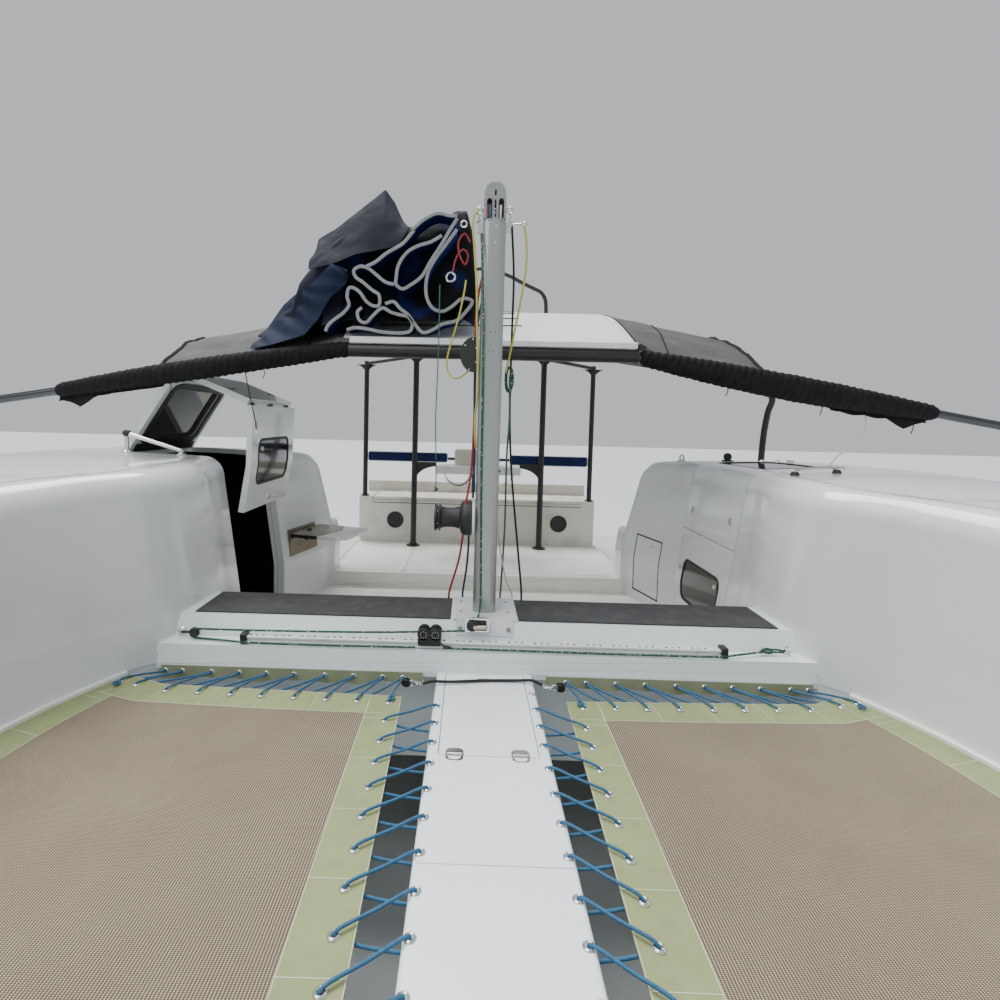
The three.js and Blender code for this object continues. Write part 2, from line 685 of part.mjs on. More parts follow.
// Front tube of the canopy, from side deck to side deck, with a padded sleeve on each arm
function makeHoop() {
  const whole = tube(hoopPath, hoopRadius, 40, 10);
  const feet = [-2630, 2630].map((x) => bar([x, hoopY, 1008], [x, hoopY, 1020], 44, 20));
  const above = box([-2800, 2800], [0, 1000], [1008, 2400]);
  add('canopy_hoop', common(join(whole, ...feet), above), alloy);
  const hollow = tube(hoopPath, hoopRadius + 1, 40, 10);
  for (const side of [port, starboard]) {
    const pad = tube(hoopPath, sleeveRadius, 40, 10);
    const stretch = box(side === port ? [720, 2120] : [-2070, -650], [0, 1000], [1500, 2400]);
    add(`sleeve_${sideName(side)}`, cut(common(pad, stretch), hollow), black);
  }
}

// Height of the canopy's upper face
function roofHeight(x, y) {
  const beyond = Math.max(0, Math.abs(x) - hoopFlat);
  const front = hoopHeight(x) + sleeveRadius + roofThickness + 12;
  const crest = 2550 - 0.2 * beyond;
  const rear = 2450 - 0.16 * beyond;
  if (y < roofCrestY) {
    const t = (y - hoopY) / (roofCrestY - hoopY);
    return front + (crest - front) * Math.sin((t * Math.PI) / 2);
  }
  const t = (y - roofCrestY) / (roofEndY - roofCrestY);
  return crest + (rear - crest) * t * t;
}

// Half width of the canopy on one side at y
function roofHalfAt(side, y) {
  const { front, crest } = roofEdges[side];
  const t = Math.min(1, (y - hoopY) / (roofCrestY - hoopY));
  return front + (crest - front) * t;
}

function makeRoof() {
  const wing = [1, 0.75, 0.5, 0.25, 0];
  const rings = [];
  for (let k = 0; k <= 14; k += 1) {
    const y = hoopY + ((roofEndY - hoopY) * k) / 14;
    const reach = (side, share) => hoopFlat + share * (roofHalfAt(side, y) - hoopFlat);
    const places = [
      ...wing.map((share) => -reach('starboard', share)), -350, 0, 350,
      ...[...wing].reverse().map((share) => reach('port', share)),
    ];
    const top = places.map((x) => [x, y, roofHeight(x, y)]);
    const under = places.map((x) => [x, y, roofHeight(x, y) - roofThickness]);
    rings.push([...top, ...under.reverse()]);
  }
  add('canopy_roof', loft(rings, true), floorWhite);
}

const postFeet = { inner: floorZ + gap, outer: benchTopZ + gap };
const outerTopZ = postTopZ - 0.16 * (outerPostX - hoopFlat);
const backrestZ = 1470;

// Posts, the rails under the canopy, the backrest rail and the tall hoop behind the canopy
function makeAftFrame() {
  const pieces = [];
  for (const s of [port, starboard]) {
    const [xIn, xOut] = [s * innerPostX, s * outerPostX];
    pieces.push(bar([xIn, innerPostY, postFeet.inner], [xIn, innerPostY, postTopZ], 27));
    pieces.push(bar([xIn, innerPostY, postFeet.inner], [xIn, innerPostY, floorZ + 12], 60, 20));
    pieces.push(bar([xOut, outerPostY, postFeet.outer], [xOut, outerPostY, outerTopZ], 18));
    pieces.push(bar([xOut, outerPostY, postFeet.outer], [xOut, outerPostY, benchTopZ + 10], 42, 20));
    pieces.push(bar([xIn, innerPostY, postTopZ - 20], [xOut, outerPostY, outerTopZ - 20], 16));
    const rail = [];
    for (let k = 0; k <= 6; k += 1) {
      const y = hoopY + 60 + ((innerPostY - hoopY - 60) * k) / 6;
      const z = k === 6 ? postTopZ - 20 : roofHeight(innerPostX, y) - roofThickness - 22;
      rail.push([xIn, y, z]);
    }
    pieces.push(tube(rail, 16, 12, 8));
    const gusset = prismY([[innerPostX - 15, 1450], [380, 1450], [innerPostX - 15, 1330]],
      innerPostY - 6, innerPostY + 6);
    pieces.push(mirrored(gusset, s));
  }
  pieces.push(bar([-innerPostX, innerPostY, postTopZ - 20], [innerPostX, innerPostY, postTopZ - 20], 16));
  pieces.push(bar([-outerPostX, outerPostY, backrestZ], [outerPostX, outerPostY, backrestZ], 14));
  pieces.push(tube([
    [-innerPostX, innerPostY, 2380], [-innerPostX, innerPostY, 2780], [-548, innerPostY, 2900],
    [-450, innerPostY, 2985], [-230, innerPostY, 3090], [0, innerPostY, 3150], [230, innerPostY, 3090],
    [450, innerPostY, 2985], [548, innerPostY, 2900], [innerPostX, innerPostY, 2780],
    [innerPostX, innerPostY, 2380],
  ], 17, 32, 8));
  add('aft_frame', join(...pieces), black);
}

function makeBench() {
  const hingeY = benchRearY - 120;
  const outer = join(
    box([-benchHalf, benchHalf], [benchFrontY, benchRearY], [floorZ + gap, benchTopZ]),
    box([-1070, 1070], [benchRearY - 80, benchRearY], [benchTopZ - 1, coamingZ]));
  const store = box([-930, 930], [benchFrontY + 40, hingeY - 20], [floorZ + 60, benchTopZ + 50]);
  const rebate = box([-960, 960], [benchFrontY - 5, hingeY + 6], [benchTopZ - 30, benchTopZ + 5]);
  add('bench', cut(outer, store, rebate), floorWhite);
  add('bench_lid', box([-954, 954], [benchFrontY, hingeY], [benchTopZ - 29, benchTopZ]), floorWhite);
}

// Backrest pads in front of their rail
function makeBackrests() {
  for (const side of [port, starboard]) {
    const outline = roundedRect(345, 60, 26).map(([x, z]) => [x + 630, z + backrestZ + 2]);
    const pad = prismY(outline, outerPostY - 14 - gap - 46, outerPostY - 14 - gap);
    add(`backrest_${sideName(side)}`, mirrored(pad, side), blue);
  }
}

// Tray between the inner posts with a low housing on it
function makeHelmTray() {
  const slab = prismY(roundedRect(379, 38, 12).map(([x, z]) => [x, z + 1402]), 2390, 2650);
  const notches = [port, starboard].map((s) => box(
    s === port ? [365, 600] : [-600, -365], [innerPostY - 8, innerPostY + 8], [1300, 1500]));
  const housing = box([-190, 110], [2490, 2640], [1430, 1590]);
  add('helm_tray', join(cut(slab, ...notches), housing), white);
}

const board = { x: 1160.9, y: 1380, pinOut: 18, pinUp: 146, from: -190, to: 170, reach: 390 };

// Folding board on the starboard cabin's slanted inner wall, which also leans
function makeFoldingBoard() {
  const wall = new THREE.Group();
  wall.position.set(-board.x, board.y, rimZ);
  wall.rotation.set(0, -Math.atan2(wallLean, 640), -lockerTurn, 'ZYX');
  boat.add(wall);
  const plate = box([1, 9], [board.from + 20, board.to - 20], [30, 200]);
  const ears = [board.from + 24, board.to - 32].map(
    (y) => box([8, 20], [y, y + 8], [board.pinUp - 22, board.pinUp + 4]));
  add('board_bracket', join(plate, ...ears), alloy, wall);
  const pivot = new THREE.Group();
  pivot.position.set(board.pinOut, 0, board.pinUp);
  pivot.rotation.y = Math.atan2(wallLean, 640);
  wall.add(pivot);
  add('folding_board', box([0, board.reach], [board.from, board.to], [12, 34]), white, pivot);
}

const rudderX = (columnAt(stations, 'inner', transomY) + columnAt(stations, 'outer', transomY)) / 2;
const rudderAxisY = transomY + 35;
const tillerY = 4480;
const tillerZ = 330;

function makeRudders() {
  for (const side of [port, starboard]) {
    const blade = prismX([
      [rudderAxisY - 16, 380], [rudderAxisY + 110, 380], [rudderAxisY + 130, 250], [rudderAxisY + 220, 140],
      [rudderAxisY + 232, 0], [rudderAxisY + 205, -560], [rudderAxisY + 160, -610], [rudderAxisY + 40, -610],
      [rudderAxisY - 16, -560],
    ], rudderX - 18, rudderX + 18);
    const tiller = box([rudderX - 16, rudderX + 16], [tillerY - 20, rudderAxisY + 60], [tillerZ, tillerZ + 26]);
    add(`rudder_${sideName(side)}`, mirrored(join(blade, tiller), side), white);
  }
  const barZ = tillerZ + 26 + 5 + 14;
  add('tie_bar', bar([-rudderX - 30, tillerY, barZ], [rudderX + 30, tillerY, barZ], 14), alloy);
}

const propeller = { y: 3872, z: -400 };

// Outboard motor on the aft edge of the bridge deck
function makeOutboard() {
  const face = bridgeEndY + 20 + gap;
  add('outboard_bracket', box([-110, 110], [face, face + 62], [440, 720]), alloy);
  const cowlOutline = [
    [3610, 780], [3940, 780], [3980, 840], [3970, 980], [3910, 1050], [3710, 1060], [3625, 1000], [3600, 870],
  ];
  const motor = join(
    prismX(cowlOutline, -135, 135),
    prismX([[3580, 720], [3810, 720], [3810, 790], [3630, 790], [3580, 750]], -95, 95),
    prismX([[3630, 730], [3810, 730], [3800, 100], [3670, 100]], -55, 55),
    prismX([[3670, 110], [3800, 110], [3810, -440], [3780, -580], [3710, -580], [3660, -440]], -22, 22),
    box([-85, 85], [3660, 3930], [-125, -113]),
    bar([0, 3620, propeller.z], [0, propeller.y - 8, propeller.z], 44));
  add('outboard_motor', motor, black);
  const blades = [0, 120, 240].map((turn) => {
    const blade = box([-38, 38], [-5, 5], [10, 118]);
    blade.rotateZ(THREE.MathUtils.degToRad(28)).rotateY(THREE.MathUtils.degToRad(turn));
    return blade.translate(0, propeller.y + 34, propeller.z);
  });
  const hub = bar([0, propeller.y, propeller.z], [0, propeller.y + 72, propeller.z], 32);
  add('propeller', join(hub, ...blades), black);
}

// Bundled sail lying on the canopy: place across, height of the heap, front and rear edge
const sailStations = [
  { y: -1190, top: 2240, front: 585, rear: 800 },
  { y: -1080, top: 2400, front: 465, rear: 950 },
  { y: -1000, top: 2500, front: 430, rear: 1020 },
  { y: -955, top: 2650, front: 410, rear: 1050 },
  { y: -830, top: 2765, front: 390, rear: 1090 },
  { y: -765, top: 2850, front: 380, rear: 1110 },
  { y: -555, top: 3020, front: 365, rear: 1130 },
  { y: -450, top: 2890, front: 360, rear: 1130 },
  { y: -240, top: 2905, front: 355, rear: 1110 },
  { y: -125, top: 2955, front: 355, rear: 1060 },
  { y: -75, top: 2760, front: 375, rear: 1000 },
  { y: -40, top: 2480, front: 445, rear: 900 },
];

function makeSail() {
  const rings = placesAlong(sailStations, -1190, -40, 70).map((x) => {
    const top = columnAt(sailStations, 'top', x);
    const front = columnAt(sailStations, 'front', x);
    const rear = columnAt(sailStations, 'rear', x);
    const ringPoints = [];
    for (let i = 0; i <= 6; i += 1) {
      const y = front + ((rear - front) * i) / 6;
      ringPoints.push([-y, x, roofHeight(x, Math.max(y, hoopY)) + 7]);
    }
    for (let i = 1; i <= 9; i += 1) {
      const angle = (Math.PI * i) / 10;
      const share = 0.5 + 0.5 * Math.cos(angle) * (1 + 0.1 * Math.sin(angle));
      const y = front + (rear - front) * share;
      const base = roofHeight(x, Math.max(y, hoopY)) + 7;
      ringPoints.push([-y, x, base + (top - base) * Math.sin(angle) ** 0.7]);
    }
    return ringPoints;
  });
  add('sail_bundle', loft(rings).rotateZ(-Math.PI / 2), navy);
}

// Yellow line hanging from the sail to the mast
const loopRoute = [
  [-112, 346, 2480], [-116, 334, 2440], [-126, 328, 2380], [-140, 324, 2310], [-158, 322, 2240],
  [-178, 320, 2170], [-190, 316, 2110], [-188, 308, 2064], [-172, 292, 2034], [-150, 262, 2020],
  [-126, 226, 2022], [-104, 186, 2034], [-86, 146, 2050], [-70, 106, 2066], [-56, 78, 2078],
  [-52, 64, 2086],
];

function makeRopeLoop() {
  add('rope_loop', tube(loopRoute, 4, 36, 8), yellow);
}

for (const side of [port, starboard]) {
  makeHull(side);
  makeDeck(side);
  makeSideWindow(side);
  makeHatch(side);
  makeTrampoline(side);
}
makeLockerDoor();
makeBridgeDeck();
makeMastBeam();
makeSpine();
makeBowBeam();
makeMast();
makeWinch();
makeTraveller();
makeHoop();
makeRoof();
makeAftFrame();
makeBench();
makeBackrests();
makeHelmTray();
makeFoldingBoard();
makeRudders();
makeOutboard();
makeSail();
makeRopeLoop();

export default boat;
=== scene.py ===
import bpy
import bmesh
import json
import math
import random
from mathutils import Matrix, Vector
from mathutils.bvhtree import BVHTree
from mathutils.noise import noise

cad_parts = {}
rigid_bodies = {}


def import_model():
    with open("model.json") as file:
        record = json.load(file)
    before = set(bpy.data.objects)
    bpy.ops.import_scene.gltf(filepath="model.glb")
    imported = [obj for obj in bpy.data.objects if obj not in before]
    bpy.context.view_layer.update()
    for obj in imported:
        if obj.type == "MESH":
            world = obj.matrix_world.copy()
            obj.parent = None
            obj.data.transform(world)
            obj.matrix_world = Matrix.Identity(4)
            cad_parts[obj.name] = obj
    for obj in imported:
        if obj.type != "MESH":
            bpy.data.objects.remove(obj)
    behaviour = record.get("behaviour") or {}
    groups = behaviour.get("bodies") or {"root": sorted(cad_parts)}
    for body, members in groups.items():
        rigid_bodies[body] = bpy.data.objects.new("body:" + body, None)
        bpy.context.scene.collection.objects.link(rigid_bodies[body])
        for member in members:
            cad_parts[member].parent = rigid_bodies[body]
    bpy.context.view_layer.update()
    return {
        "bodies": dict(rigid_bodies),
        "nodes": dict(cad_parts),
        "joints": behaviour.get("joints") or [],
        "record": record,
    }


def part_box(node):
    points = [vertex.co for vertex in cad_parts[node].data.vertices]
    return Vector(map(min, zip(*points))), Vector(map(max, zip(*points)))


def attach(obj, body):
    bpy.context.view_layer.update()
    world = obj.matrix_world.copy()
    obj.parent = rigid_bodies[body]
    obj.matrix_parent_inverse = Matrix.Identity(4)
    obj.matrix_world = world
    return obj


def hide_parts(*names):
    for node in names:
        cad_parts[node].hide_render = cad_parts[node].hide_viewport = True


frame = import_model()
nodes = frame["nodes"]
scene = bpy.context.scene

# Photo's view: place, turn in degrees, focal length and picture middle in picture widths
camera = {"place": (-0.075, -2.228, 1.835), "down": 2.96, "turn": -0.84, "roll": 1.4, "focal": 0.5462,
          "sensor": 36, "middle": (0.4617, 0.4476)}


def addCamera():
    down, turn, roll = (math.radians(camera[key]) for key in ("down", "turn", "roll"))
    ahead = Vector((math.sin(turn) * math.cos(down), math.cos(turn) * math.cos(down), -math.sin(down)))
    level = ahead.cross(Vector((0, 0, 1))).normalized()
    upright = level.cross(ahead)
    right = level * math.cos(roll) + upright * math.sin(roll)
    up = upright * math.cos(roll) - level * math.sin(roll)
    data = bpy.data.cameras.new("view")
    data.sensor_width = camera["sensor"]
    data.lens = camera["focal"] * camera["sensor"]
    data.shift_x = 0.5 - camera["middle"][0]
    data.shift_y = camera["middle"][1] - 0.5
    data.clip_start = 0.02
    view = bpy.data.objects.new("view", data)
    scene.collection.objects.link(view)
    turned = Matrix((right, up, -ahead)).transposed().to_4x4()
    turned.translation = Vector(camera["place"])
    view.matrix_world = turned
    scene.camera = view


# Soft daylight over the boat
studio = {"sky": 0.68, "keyPower": 380, "keySize": 7, "sunPower": 3.9}


def addLights():
    world = scene.world or bpy.data.worlds.new("studio")
    scene.world = world
    world.use_nodes = True
    background = world.node_tree.nodes["Background"]
    background.inputs["Color"].default_value = (0.86, 0.9, 0.95, 1)
    background.inputs["Strength"].default_value = studio["sky"]
    key = bpy.data.lights.new("key", "AREA")
    key.energy = studio["keyPower"]
    key.size = studio["keySize"]
    keyObject = bpy.data.objects.new("key", key)
    scene.collection.objects.link(keyObject)
    keyObject.location = (-3.5, -3.5, 7.5)
    keyObject.rotation_euler = (Vector((0, 0.4, 0.8))
                                - keyObject.location).to_track_quat("-Z", "Y").to_euler()
    sun = bpy.data.lights.new("sun", "SUN")
    sun.energy = studio["sunPower"]
    sun.angle = 0.7
    sunObject = bpy.data.objects.new("sun", sun)
    scene.collection.objects.link(sunObject)
    sunObject.rotation_euler = (math.radians(-24), math.radians(-14), 0)


addCamera()
addLights()
print("camera and light done", flush=True)


# Node with its sockets set: a value, or the output that is joined to it
def addNode(tree, kind, sockets=None, **settings):
    made = tree.nodes.new(kind)
    for key, value in settings.items():
        setattr(made, key, value)
    for key, value in (sockets or {}).items():
        if isinstance(value, bpy.types.NodeSocket):
            tree.links.new(value, made.inputs[key])
        else:
            made.inputs[key].default_value = value
    return made


# Colour and gloss vary slowly over a surface, dirt gathers in patches, and fine grain gives the bump
def makeFinish(name, colour, rough=0.4, metal=0.0, spread=0.08, scale=4.0, grain=0.0,
               grainScale=300.0, stretch=(1, 1, 1), dirt=0.0, dirtColour=(0.25, 0.21, 0.15), coat=0.0,
               edge=0.0, alpha=1.0, shine=0.5):
    material = bpy.data.materials.new(name)
    material.use_nodes = True
    tree = material.node_tree
    shader = tree.nodes["Principled BSDF"]
    place = addNode(tree, "ShaderNodeTexCoord").outputs["Object"]
    mapped = addNode(tree, "ShaderNodeMapping", {"Scale": stretch, "Vector": place}).outputs["Vector"]

    def noiseAt(noiseScale, detail):
        sockets = {"Scale": noiseScale, "Detail": detail, "Vector": mapped}
        return addNode(tree, "ShaderNodeTexNoise", sockets).outputs["Fac"]

    dark = (*[value * (1 - spread) for value in colour], 1)
    light = (*[min(1, value * (1 + spread)) for value in colour], 1)
    last = addNode(tree, "ShaderNodeMix", {0: noiseAt(scale, 5), 6: dark, 7: light},
                   data_type="RGBA").outputs[2]
    if dirt:
        ramp = addNode(tree, "ShaderNodeMapRange", {"Value": noiseAt(scale * 2.3, 9), "From Min": 0.52,
            "From Max": 0.78, "To Max": dirt})
        last = addNode(tree, "ShaderNodeMix", {0: ramp.outputs["Result"], 6: last, 7: (*dirtColour, 1)},
                       data_type="RGBA").outputs[2]
    tree.links.new(last, shader.inputs["Base Color"])
    gloss = addNode(tree, "ShaderNodeMapRange", {"Value": noiseAt(scale * 1.7, 4),
        "To Min": max(0.02, rough * 0.8), "To Max": min(1, rough * 1.25)})
    tree.links.new(gloss.outputs["Result"], shader.inputs["Roughness"])
    shader.inputs["Metallic"].default_value = metal
    shader.inputs["Specular IOR Level"].default_value = shine
    shader.inputs["Coat Weight"].default_value = coat
    shader.inputs["Alpha"].default_value = alpha
    if grain:
        bump = addNode(tree, "ShaderNodeBump",
                       {"Strength": grain, "Distance": 0.001, "Height": noiseAt(grainScale, 3)})
        tree.links.new(bump.outputs["Normal"], shader.inputs["Normal"])
        if edge:
            rounding = addNode(tree, "ShaderNodeBevel", {"Radius": edge}, samples=3)
            tree.links.new(rounding.outputs["Normal"], bump.inputs["Normal"])
    return material


gelcoat = makeFinish("gelcoat", (0.76, 0.79, 0.79), 0.16, spread=0.03, scale=1.6, grain=0.04,
                     grainScale=9, dirt=0.1, coat=0.5, edge=0.003)
# brightWhite: the white of the mast beam and spine, lighter than the hull gelcoat, its own white with painted
# light for the brighter light on the beam front
brightWhite = makeFinish("brightWhite", (0.86, 0.92, 0.93), 0.18, spread=0.03, scale=1.6,
                         grain=0.04, grainScale=9, dirt=0.06, edge=0.002)
deckPaint = makeFinish("deckPaint", (0.74, 0.71, 0.63), 0.42, spread=0.06, scale=2.2,
                       grain=0.25, grainScale=700, dirt=0.35, edge=0.003)
# floorPaint is the cockpit floor's paint made much lighter than the bench's deckPaint: its own colour with
# painted sunlight for the sun that falls on the floor
floorPaint = makeFinish("floorPaint", (0.93, 0.91, 0.85), 0.45, spread=0.05, scale=1.7,
                        grain=0.3, grainScale=600, dirt=0.3, dirtColour=(0.5, 0.44, 0.34), edge=0.004)
whitePlastic = makeFinish("whitePlastic", (0.86, 0.86, 0.83), 0.3, spread=0.03, grain=0.06,
                          grainScale=60, dirt=0.12, edge=0.002)
creamWhite = makeFinish("creamWhite", (0.66, 0.64, 0.57), 0.35, grain=0.1, dirt=0.2,
                        edge=0.002)
creamPlastic = makeFinish("creamPlastic", (0.62, 0.55, 0.4), 0.4, grain=0.1)
plateWhite = makeFinish("plateWhite", (0.75, 0.77, 0.78), 0.32, spread=0.05, grain=0.12,
                        grainScale=400, dirt=0.25)
nonskid = makeFinish("nonskid", (0.052, 0.053, 0.056), 0.8, spread=0.16, scale=7, grain=0.9,
                     grainScale=1100, dirt=0.2, dirtColour=(0.25, 0.24, 0.21))
nonskidEdge = makeFinish("nonskidEdge", (0.03, 0.03, 0.032), 0.8, grain=0.5)
tinted = makeFinish("tinted", (0.03, 0.031, 0.032), 0.06, spread=0.3, scale=3, coat=0.6,
                    alpha=0.9)
blackGlass = makeFinish("blackGlass", (0.012, 0.012, 0.013), 0.1, spread=0.3, coat=0.4)
gasket = makeFinish("gasket", (0.01, 0.01, 0.011), 0.55, grain=0.2)
chrome = makeFinish("chrome", (0.8, 0.8, 0.79), 0.14, metal=1.0, spread=0.06, scale=20)
steel = makeFinish("steel", (0.62, 0.62, 0.6), 0.26, metal=1.0, spread=0.08, scale=9,
                   grain=0.1)
bronzed = makeFinish("bronzed", (0.24, 0.21, 0.16), 0.28, metal=0.9, spread=0.25, scale=8,
                     dirt=0.3)
alloy = makeFinish("alloy", (0.4, 0.42, 0.415), 0.36, metal=0.85, spread=0.08, scale=5,
                   grain=0.35, grainScale=260, stretch=(1, 1, 0.03), dirt=0.12)
hoopMetal = makeFinish("hoopMetal", (0.085, 0.087, 0.09), 0.2, metal=0.9, spread=0.1, scale=6,
                       grain=0.1)
castAlloy = makeFinish("castAlloy", (0.3, 0.31, 0.31), 0.5, metal=0.6, spread=0.12, scale=15,
                       grain=0.6)
blackMetal = makeFinish("blackMetal", (0.014, 0.014, 0.015), 0.36, spread=0.3, grain=0.15)
blackPlastic = makeFinish("blackPlastic", (0.018, 0.018, 0.019), 0.5, spread=0.3, grain=0.3)
motorPaint = makeFinish("motorPaint", (0.035, 0.038, 0.042), 0.25, spread=0.2, grain=0.05,
                        coat=0.4)
sleeveCloth = makeFinish("sleeveCloth", (0.007, 0.007, 0.008), 0.85, spread=0.5, scale=14,
                         grain=1.0, grainScale=900, dirt=0.3, dirtColour=(0.03, 0.03, 0.032), shine=0.25)
roofWhite = makeFinish("roofWhite", (0.7, 0.72, 0.73), 0.6, spread=0.08, scale=3, grain=0.3,
                       grainScale=800, dirt=0.3, dirtColour=(0.35, 0.34, 0.32))
roofGrey = makeFinish("roofGrey", (0.068, 0.068, 0.067), 0.8, spread=0.35, scale=4,
                      grain=0.4, grainScale=800, dirt=0.4, dirtColour=(0.16, 0.15, 0.14))
blueCloth = makeFinish("blueCloth", (0.008, 0.018, 0.075), 0.85, spread=0.25, scale=9,
                       grain=0.6, grainScale=1400, shine=0.25)
piping = makeFinish("piping", (0.62, 0.64, 0.66), 0.7, grain=0.3, grainScale=1200)
sageCloth = makeFinish("sageCloth", (0.285, 0.33, 0.148), 0.85, spread=0.14, scale=12,
                       grain=0.8, grainScale=1600, dirt=0.4, dirtColour=(0.22, 0.2, 0.12))
sageStrip = makeFinish("sageStrip", (0.29, 0.32, 0.19), 0.85, spread=0.14, scale=12, grain=0.8,
                       grainScale=900)
sailNavy = makeFinish("sailNavy", (0.01, 0.016, 0.042), 0.8, spread=0.5, scale=6, grain=0.5,
                      grainScale=900, dirt=0.5, dirtColour=(0.006, 0.006, 0.01), shine=0.2)
sailSlate = makeFinish("sailSlate", (0.009, 0.012, 0.022), 0.8, spread=0.5, scale=5,
                       grain=0.5, grainScale=900, dirt=0.5, dirtColour=(0.004, 0.004, 0.006), shine=0.2)
sailBlue = makeFinish("sailBlue", (0.006, 0.016, 0.12), 0.7, spread=0.5, scale=9, grain=0.5,
                      grainScale=900, shine=0.2)
# sailInside: darker than the slate sail, painted shade for the front of the heap behind the folds, with the
# cloth's own blue in patches
sailInside = makeFinish("sailInside", (0.0035, 0.0038, 0.006), 0.85, spread=0.5, scale=3.2,
                        grain=0.5, dirt=1.0, dirtColour=(0.006, 0.016, 0.12), shine=0.2)
webbing = makeFinish("webbing", (0.27, 0.28, 0.285), 0.8, spread=0.3, scale=22, grain=0.9,
                     grainScale=1300, dirt=0.5, dirtColour=(0.2, 0.2, 0.2))
# lining: near-black painted shade for the inside of the cabin and behind the bench vents, where little light
# reaches
lining = makeFinish("lining", (0.01, 0.01, 0.011), 0.9, grain=0.6, grainScale=900)
stitch = makeFinish("stitch", (0.62, 0.6, 0.45), 0.8, grain=0.3)


def ropeFinish(name, colour, fleck=0.35):
    return makeFinish(name, colour, 0.75, spread=fleck, scale=160, grain=1.0, grainScale=700)


laceBlue = ropeFinish("laceBlue", (0.03, 0.125, 0.235), 0.5)
ropeNavy = ropeFinish("ropeNavy", (0.016, 0.028, 0.085), 0.6)
ropeGreen = ropeFinish("ropeGreen", (0.05, 0.16, 0.09), 0.8)
ropeYellow = ropeFinish("ropeYellow", (0.5, 0.47, 0.09), 0.5)
ropeRed = ropeFinish("ropeRed", (0.33, 0.03, 0.035), 0.5)
ropeWhite = ropeFinish("ropeWhite", (0.62, 0.61, 0.56), 0.2)
ropeBlack = ropeFinish("ropeBlack", (0.016, 0.016, 0.017), 0.6)


# Woven net: cream yarns in rows, with the holes between them painted dark as painted shade and partly
# see-through
def makeNet(name, across=0.0062, along=0.0036):
    material = makeFinish(name, (0.42, 0.36, 0.235), 0.85, spread=0.2, scale=5)
    tree = material.node_tree
    shader = tree.nodes["Principled BSDF"]
    place = addNode(tree, "ShaderNodeTexCoord").outputs["Object"]
    split = addNode(tree, "ShaderNodeSeparateXYZ", {"Vector": place})

    def wave(output, pitch, shift):
        times = addNode(tree, "ShaderNodeMath", {0: output, 1: math.tau / pitch, 2: shift},
                        operation="MULTIPLY_ADD")
        return addNode(tree, "ShaderNodeMath", {0: times.outputs[0]}, operation="SINE").outputs[0]

    rows = wave(split.outputs["X"], across, 0.5)
    dashes = wave(split.outputs["Y"], along, rows)
    both = addNode(tree, "ShaderNodeMath", {0: dashes, 1: 0.8, 2: rows}, operation="MULTIPLY_ADD")
    ramp = addNode(tree, "ShaderNodeMapRange",
                   {"Value": both.outputs[0], "From Min": -0.5, "From Max": 0.9})
    yarn = ramp.outputs["Result"]
    source = shader.inputs["Base Color"].links[0].from_socket
    # the dark colour between the yarns is painted shade in the holes
    colour = addNode(tree, "ShaderNodeMix", {0: yarn, 6: (0.085, 0.062, 0.045, 1), 7: source},
                     data_type="RGBA")
    bump = addNode(tree, "ShaderNodeBump", {"Strength": 0.5, "Distance": 0.002, "Height": yarn})
    clear = addNode(tree, "ShaderNodeMapRange", {"Value": yarn, "To Min": 0.72, "To Max": 1.0})
    for output, socket in ((colour.outputs[2], "Base Color"), (bump.outputs["Normal"], "Normal"),
                           (clear.outputs["Result"], "Alpha")):
        tree.links.new(output, shader.inputs[socket])
    return material


netCloth = makeNet("netCloth")


# Mesh helpers: a part is a pair of points and faces, in metres
def smoothPath(points, step=0.02):
    path = [Vector(point) for point in points]
    if len(path) < 3:
        return path
    ends = [path[0] * 2 - path[1]] + path + [path[-1] * 2 - path[-2]]
    result = [path[0]]
    for before, start, end, after in zip(ends, ends[1:], ends[2:], ends[3:]):
        knots = [0.0]
        for one, two in ((before, start), (start, end), (end, after)):
            knots.append(knots[-1] + max(1e-6, (two - one).length) ** 0.5)
        count = max(1, round((end - start).length / step))
        for index in range(1, count + 1):
            t = knots[1] + (knots[2] - knots[1]) * index / count
            a = [(before, start), (start, end), (end, after)]
            first = [p + (q - p) * ((t - knots[i]) / (knots[i + 1] - knots[i]))
                     for i, (p, q) in enumerate(a)]
            second = [first[i] + (first[i + 1] - first[i]) * ((t - knots[i]) / (knots[i + 2] - knots[i]))
                      for i in range(2)]
            result.append(second[0] + (second[1] - second[0]) * ((t - knots[1]) / (knots[2] - knots[1])))
    return result


def framesAlong(path, up=None):
    tangents = []
    for index in range(len(path)):
        before, after = path[max(0, index - 1)], path[min(len(path) - 1, index + 1)]
        tangents.append((after - before).normalized())
    side = tangents[0].orthogonal().normalized() if up is None else tangents[0].cross(Vector(up)).normalized()
    frames = []
    for tangent in tangents:
        side = (side - tangent * side.dot(tangent)).normalized()
        frames.append((side, tangent.cross(side)))
    return frames


# Skin over rings of equal length, closed at its ends or joined into a loop
def skin(rings, loop=False):
    count = len(rings[0])
    points = [tuple(point) for ring in rings for point in ring]
    faces = []
    for row in range(len(rings) if loop else len(rings) - 1):
        for index in range(count):
            a, b = row * count + index, row * count + (index + 1) % count
            c = (row + 1) % len(rings) * count
            faces.append((a, b, c + (index + 1) % count, c + index))
    if not loop:
        faces.append(tuple(reversed(range(count))))
        faces.append(tuple(range((len(rings) - 1) * count, len(rings) * count)))
    return points, faces


def shares(count):
    return [k / count for k in range(count + 1)]


def turns(count):
    return [math.tau * k / count for k in range(count)]


def upBy(height):
    return Vector((0, 0, height))


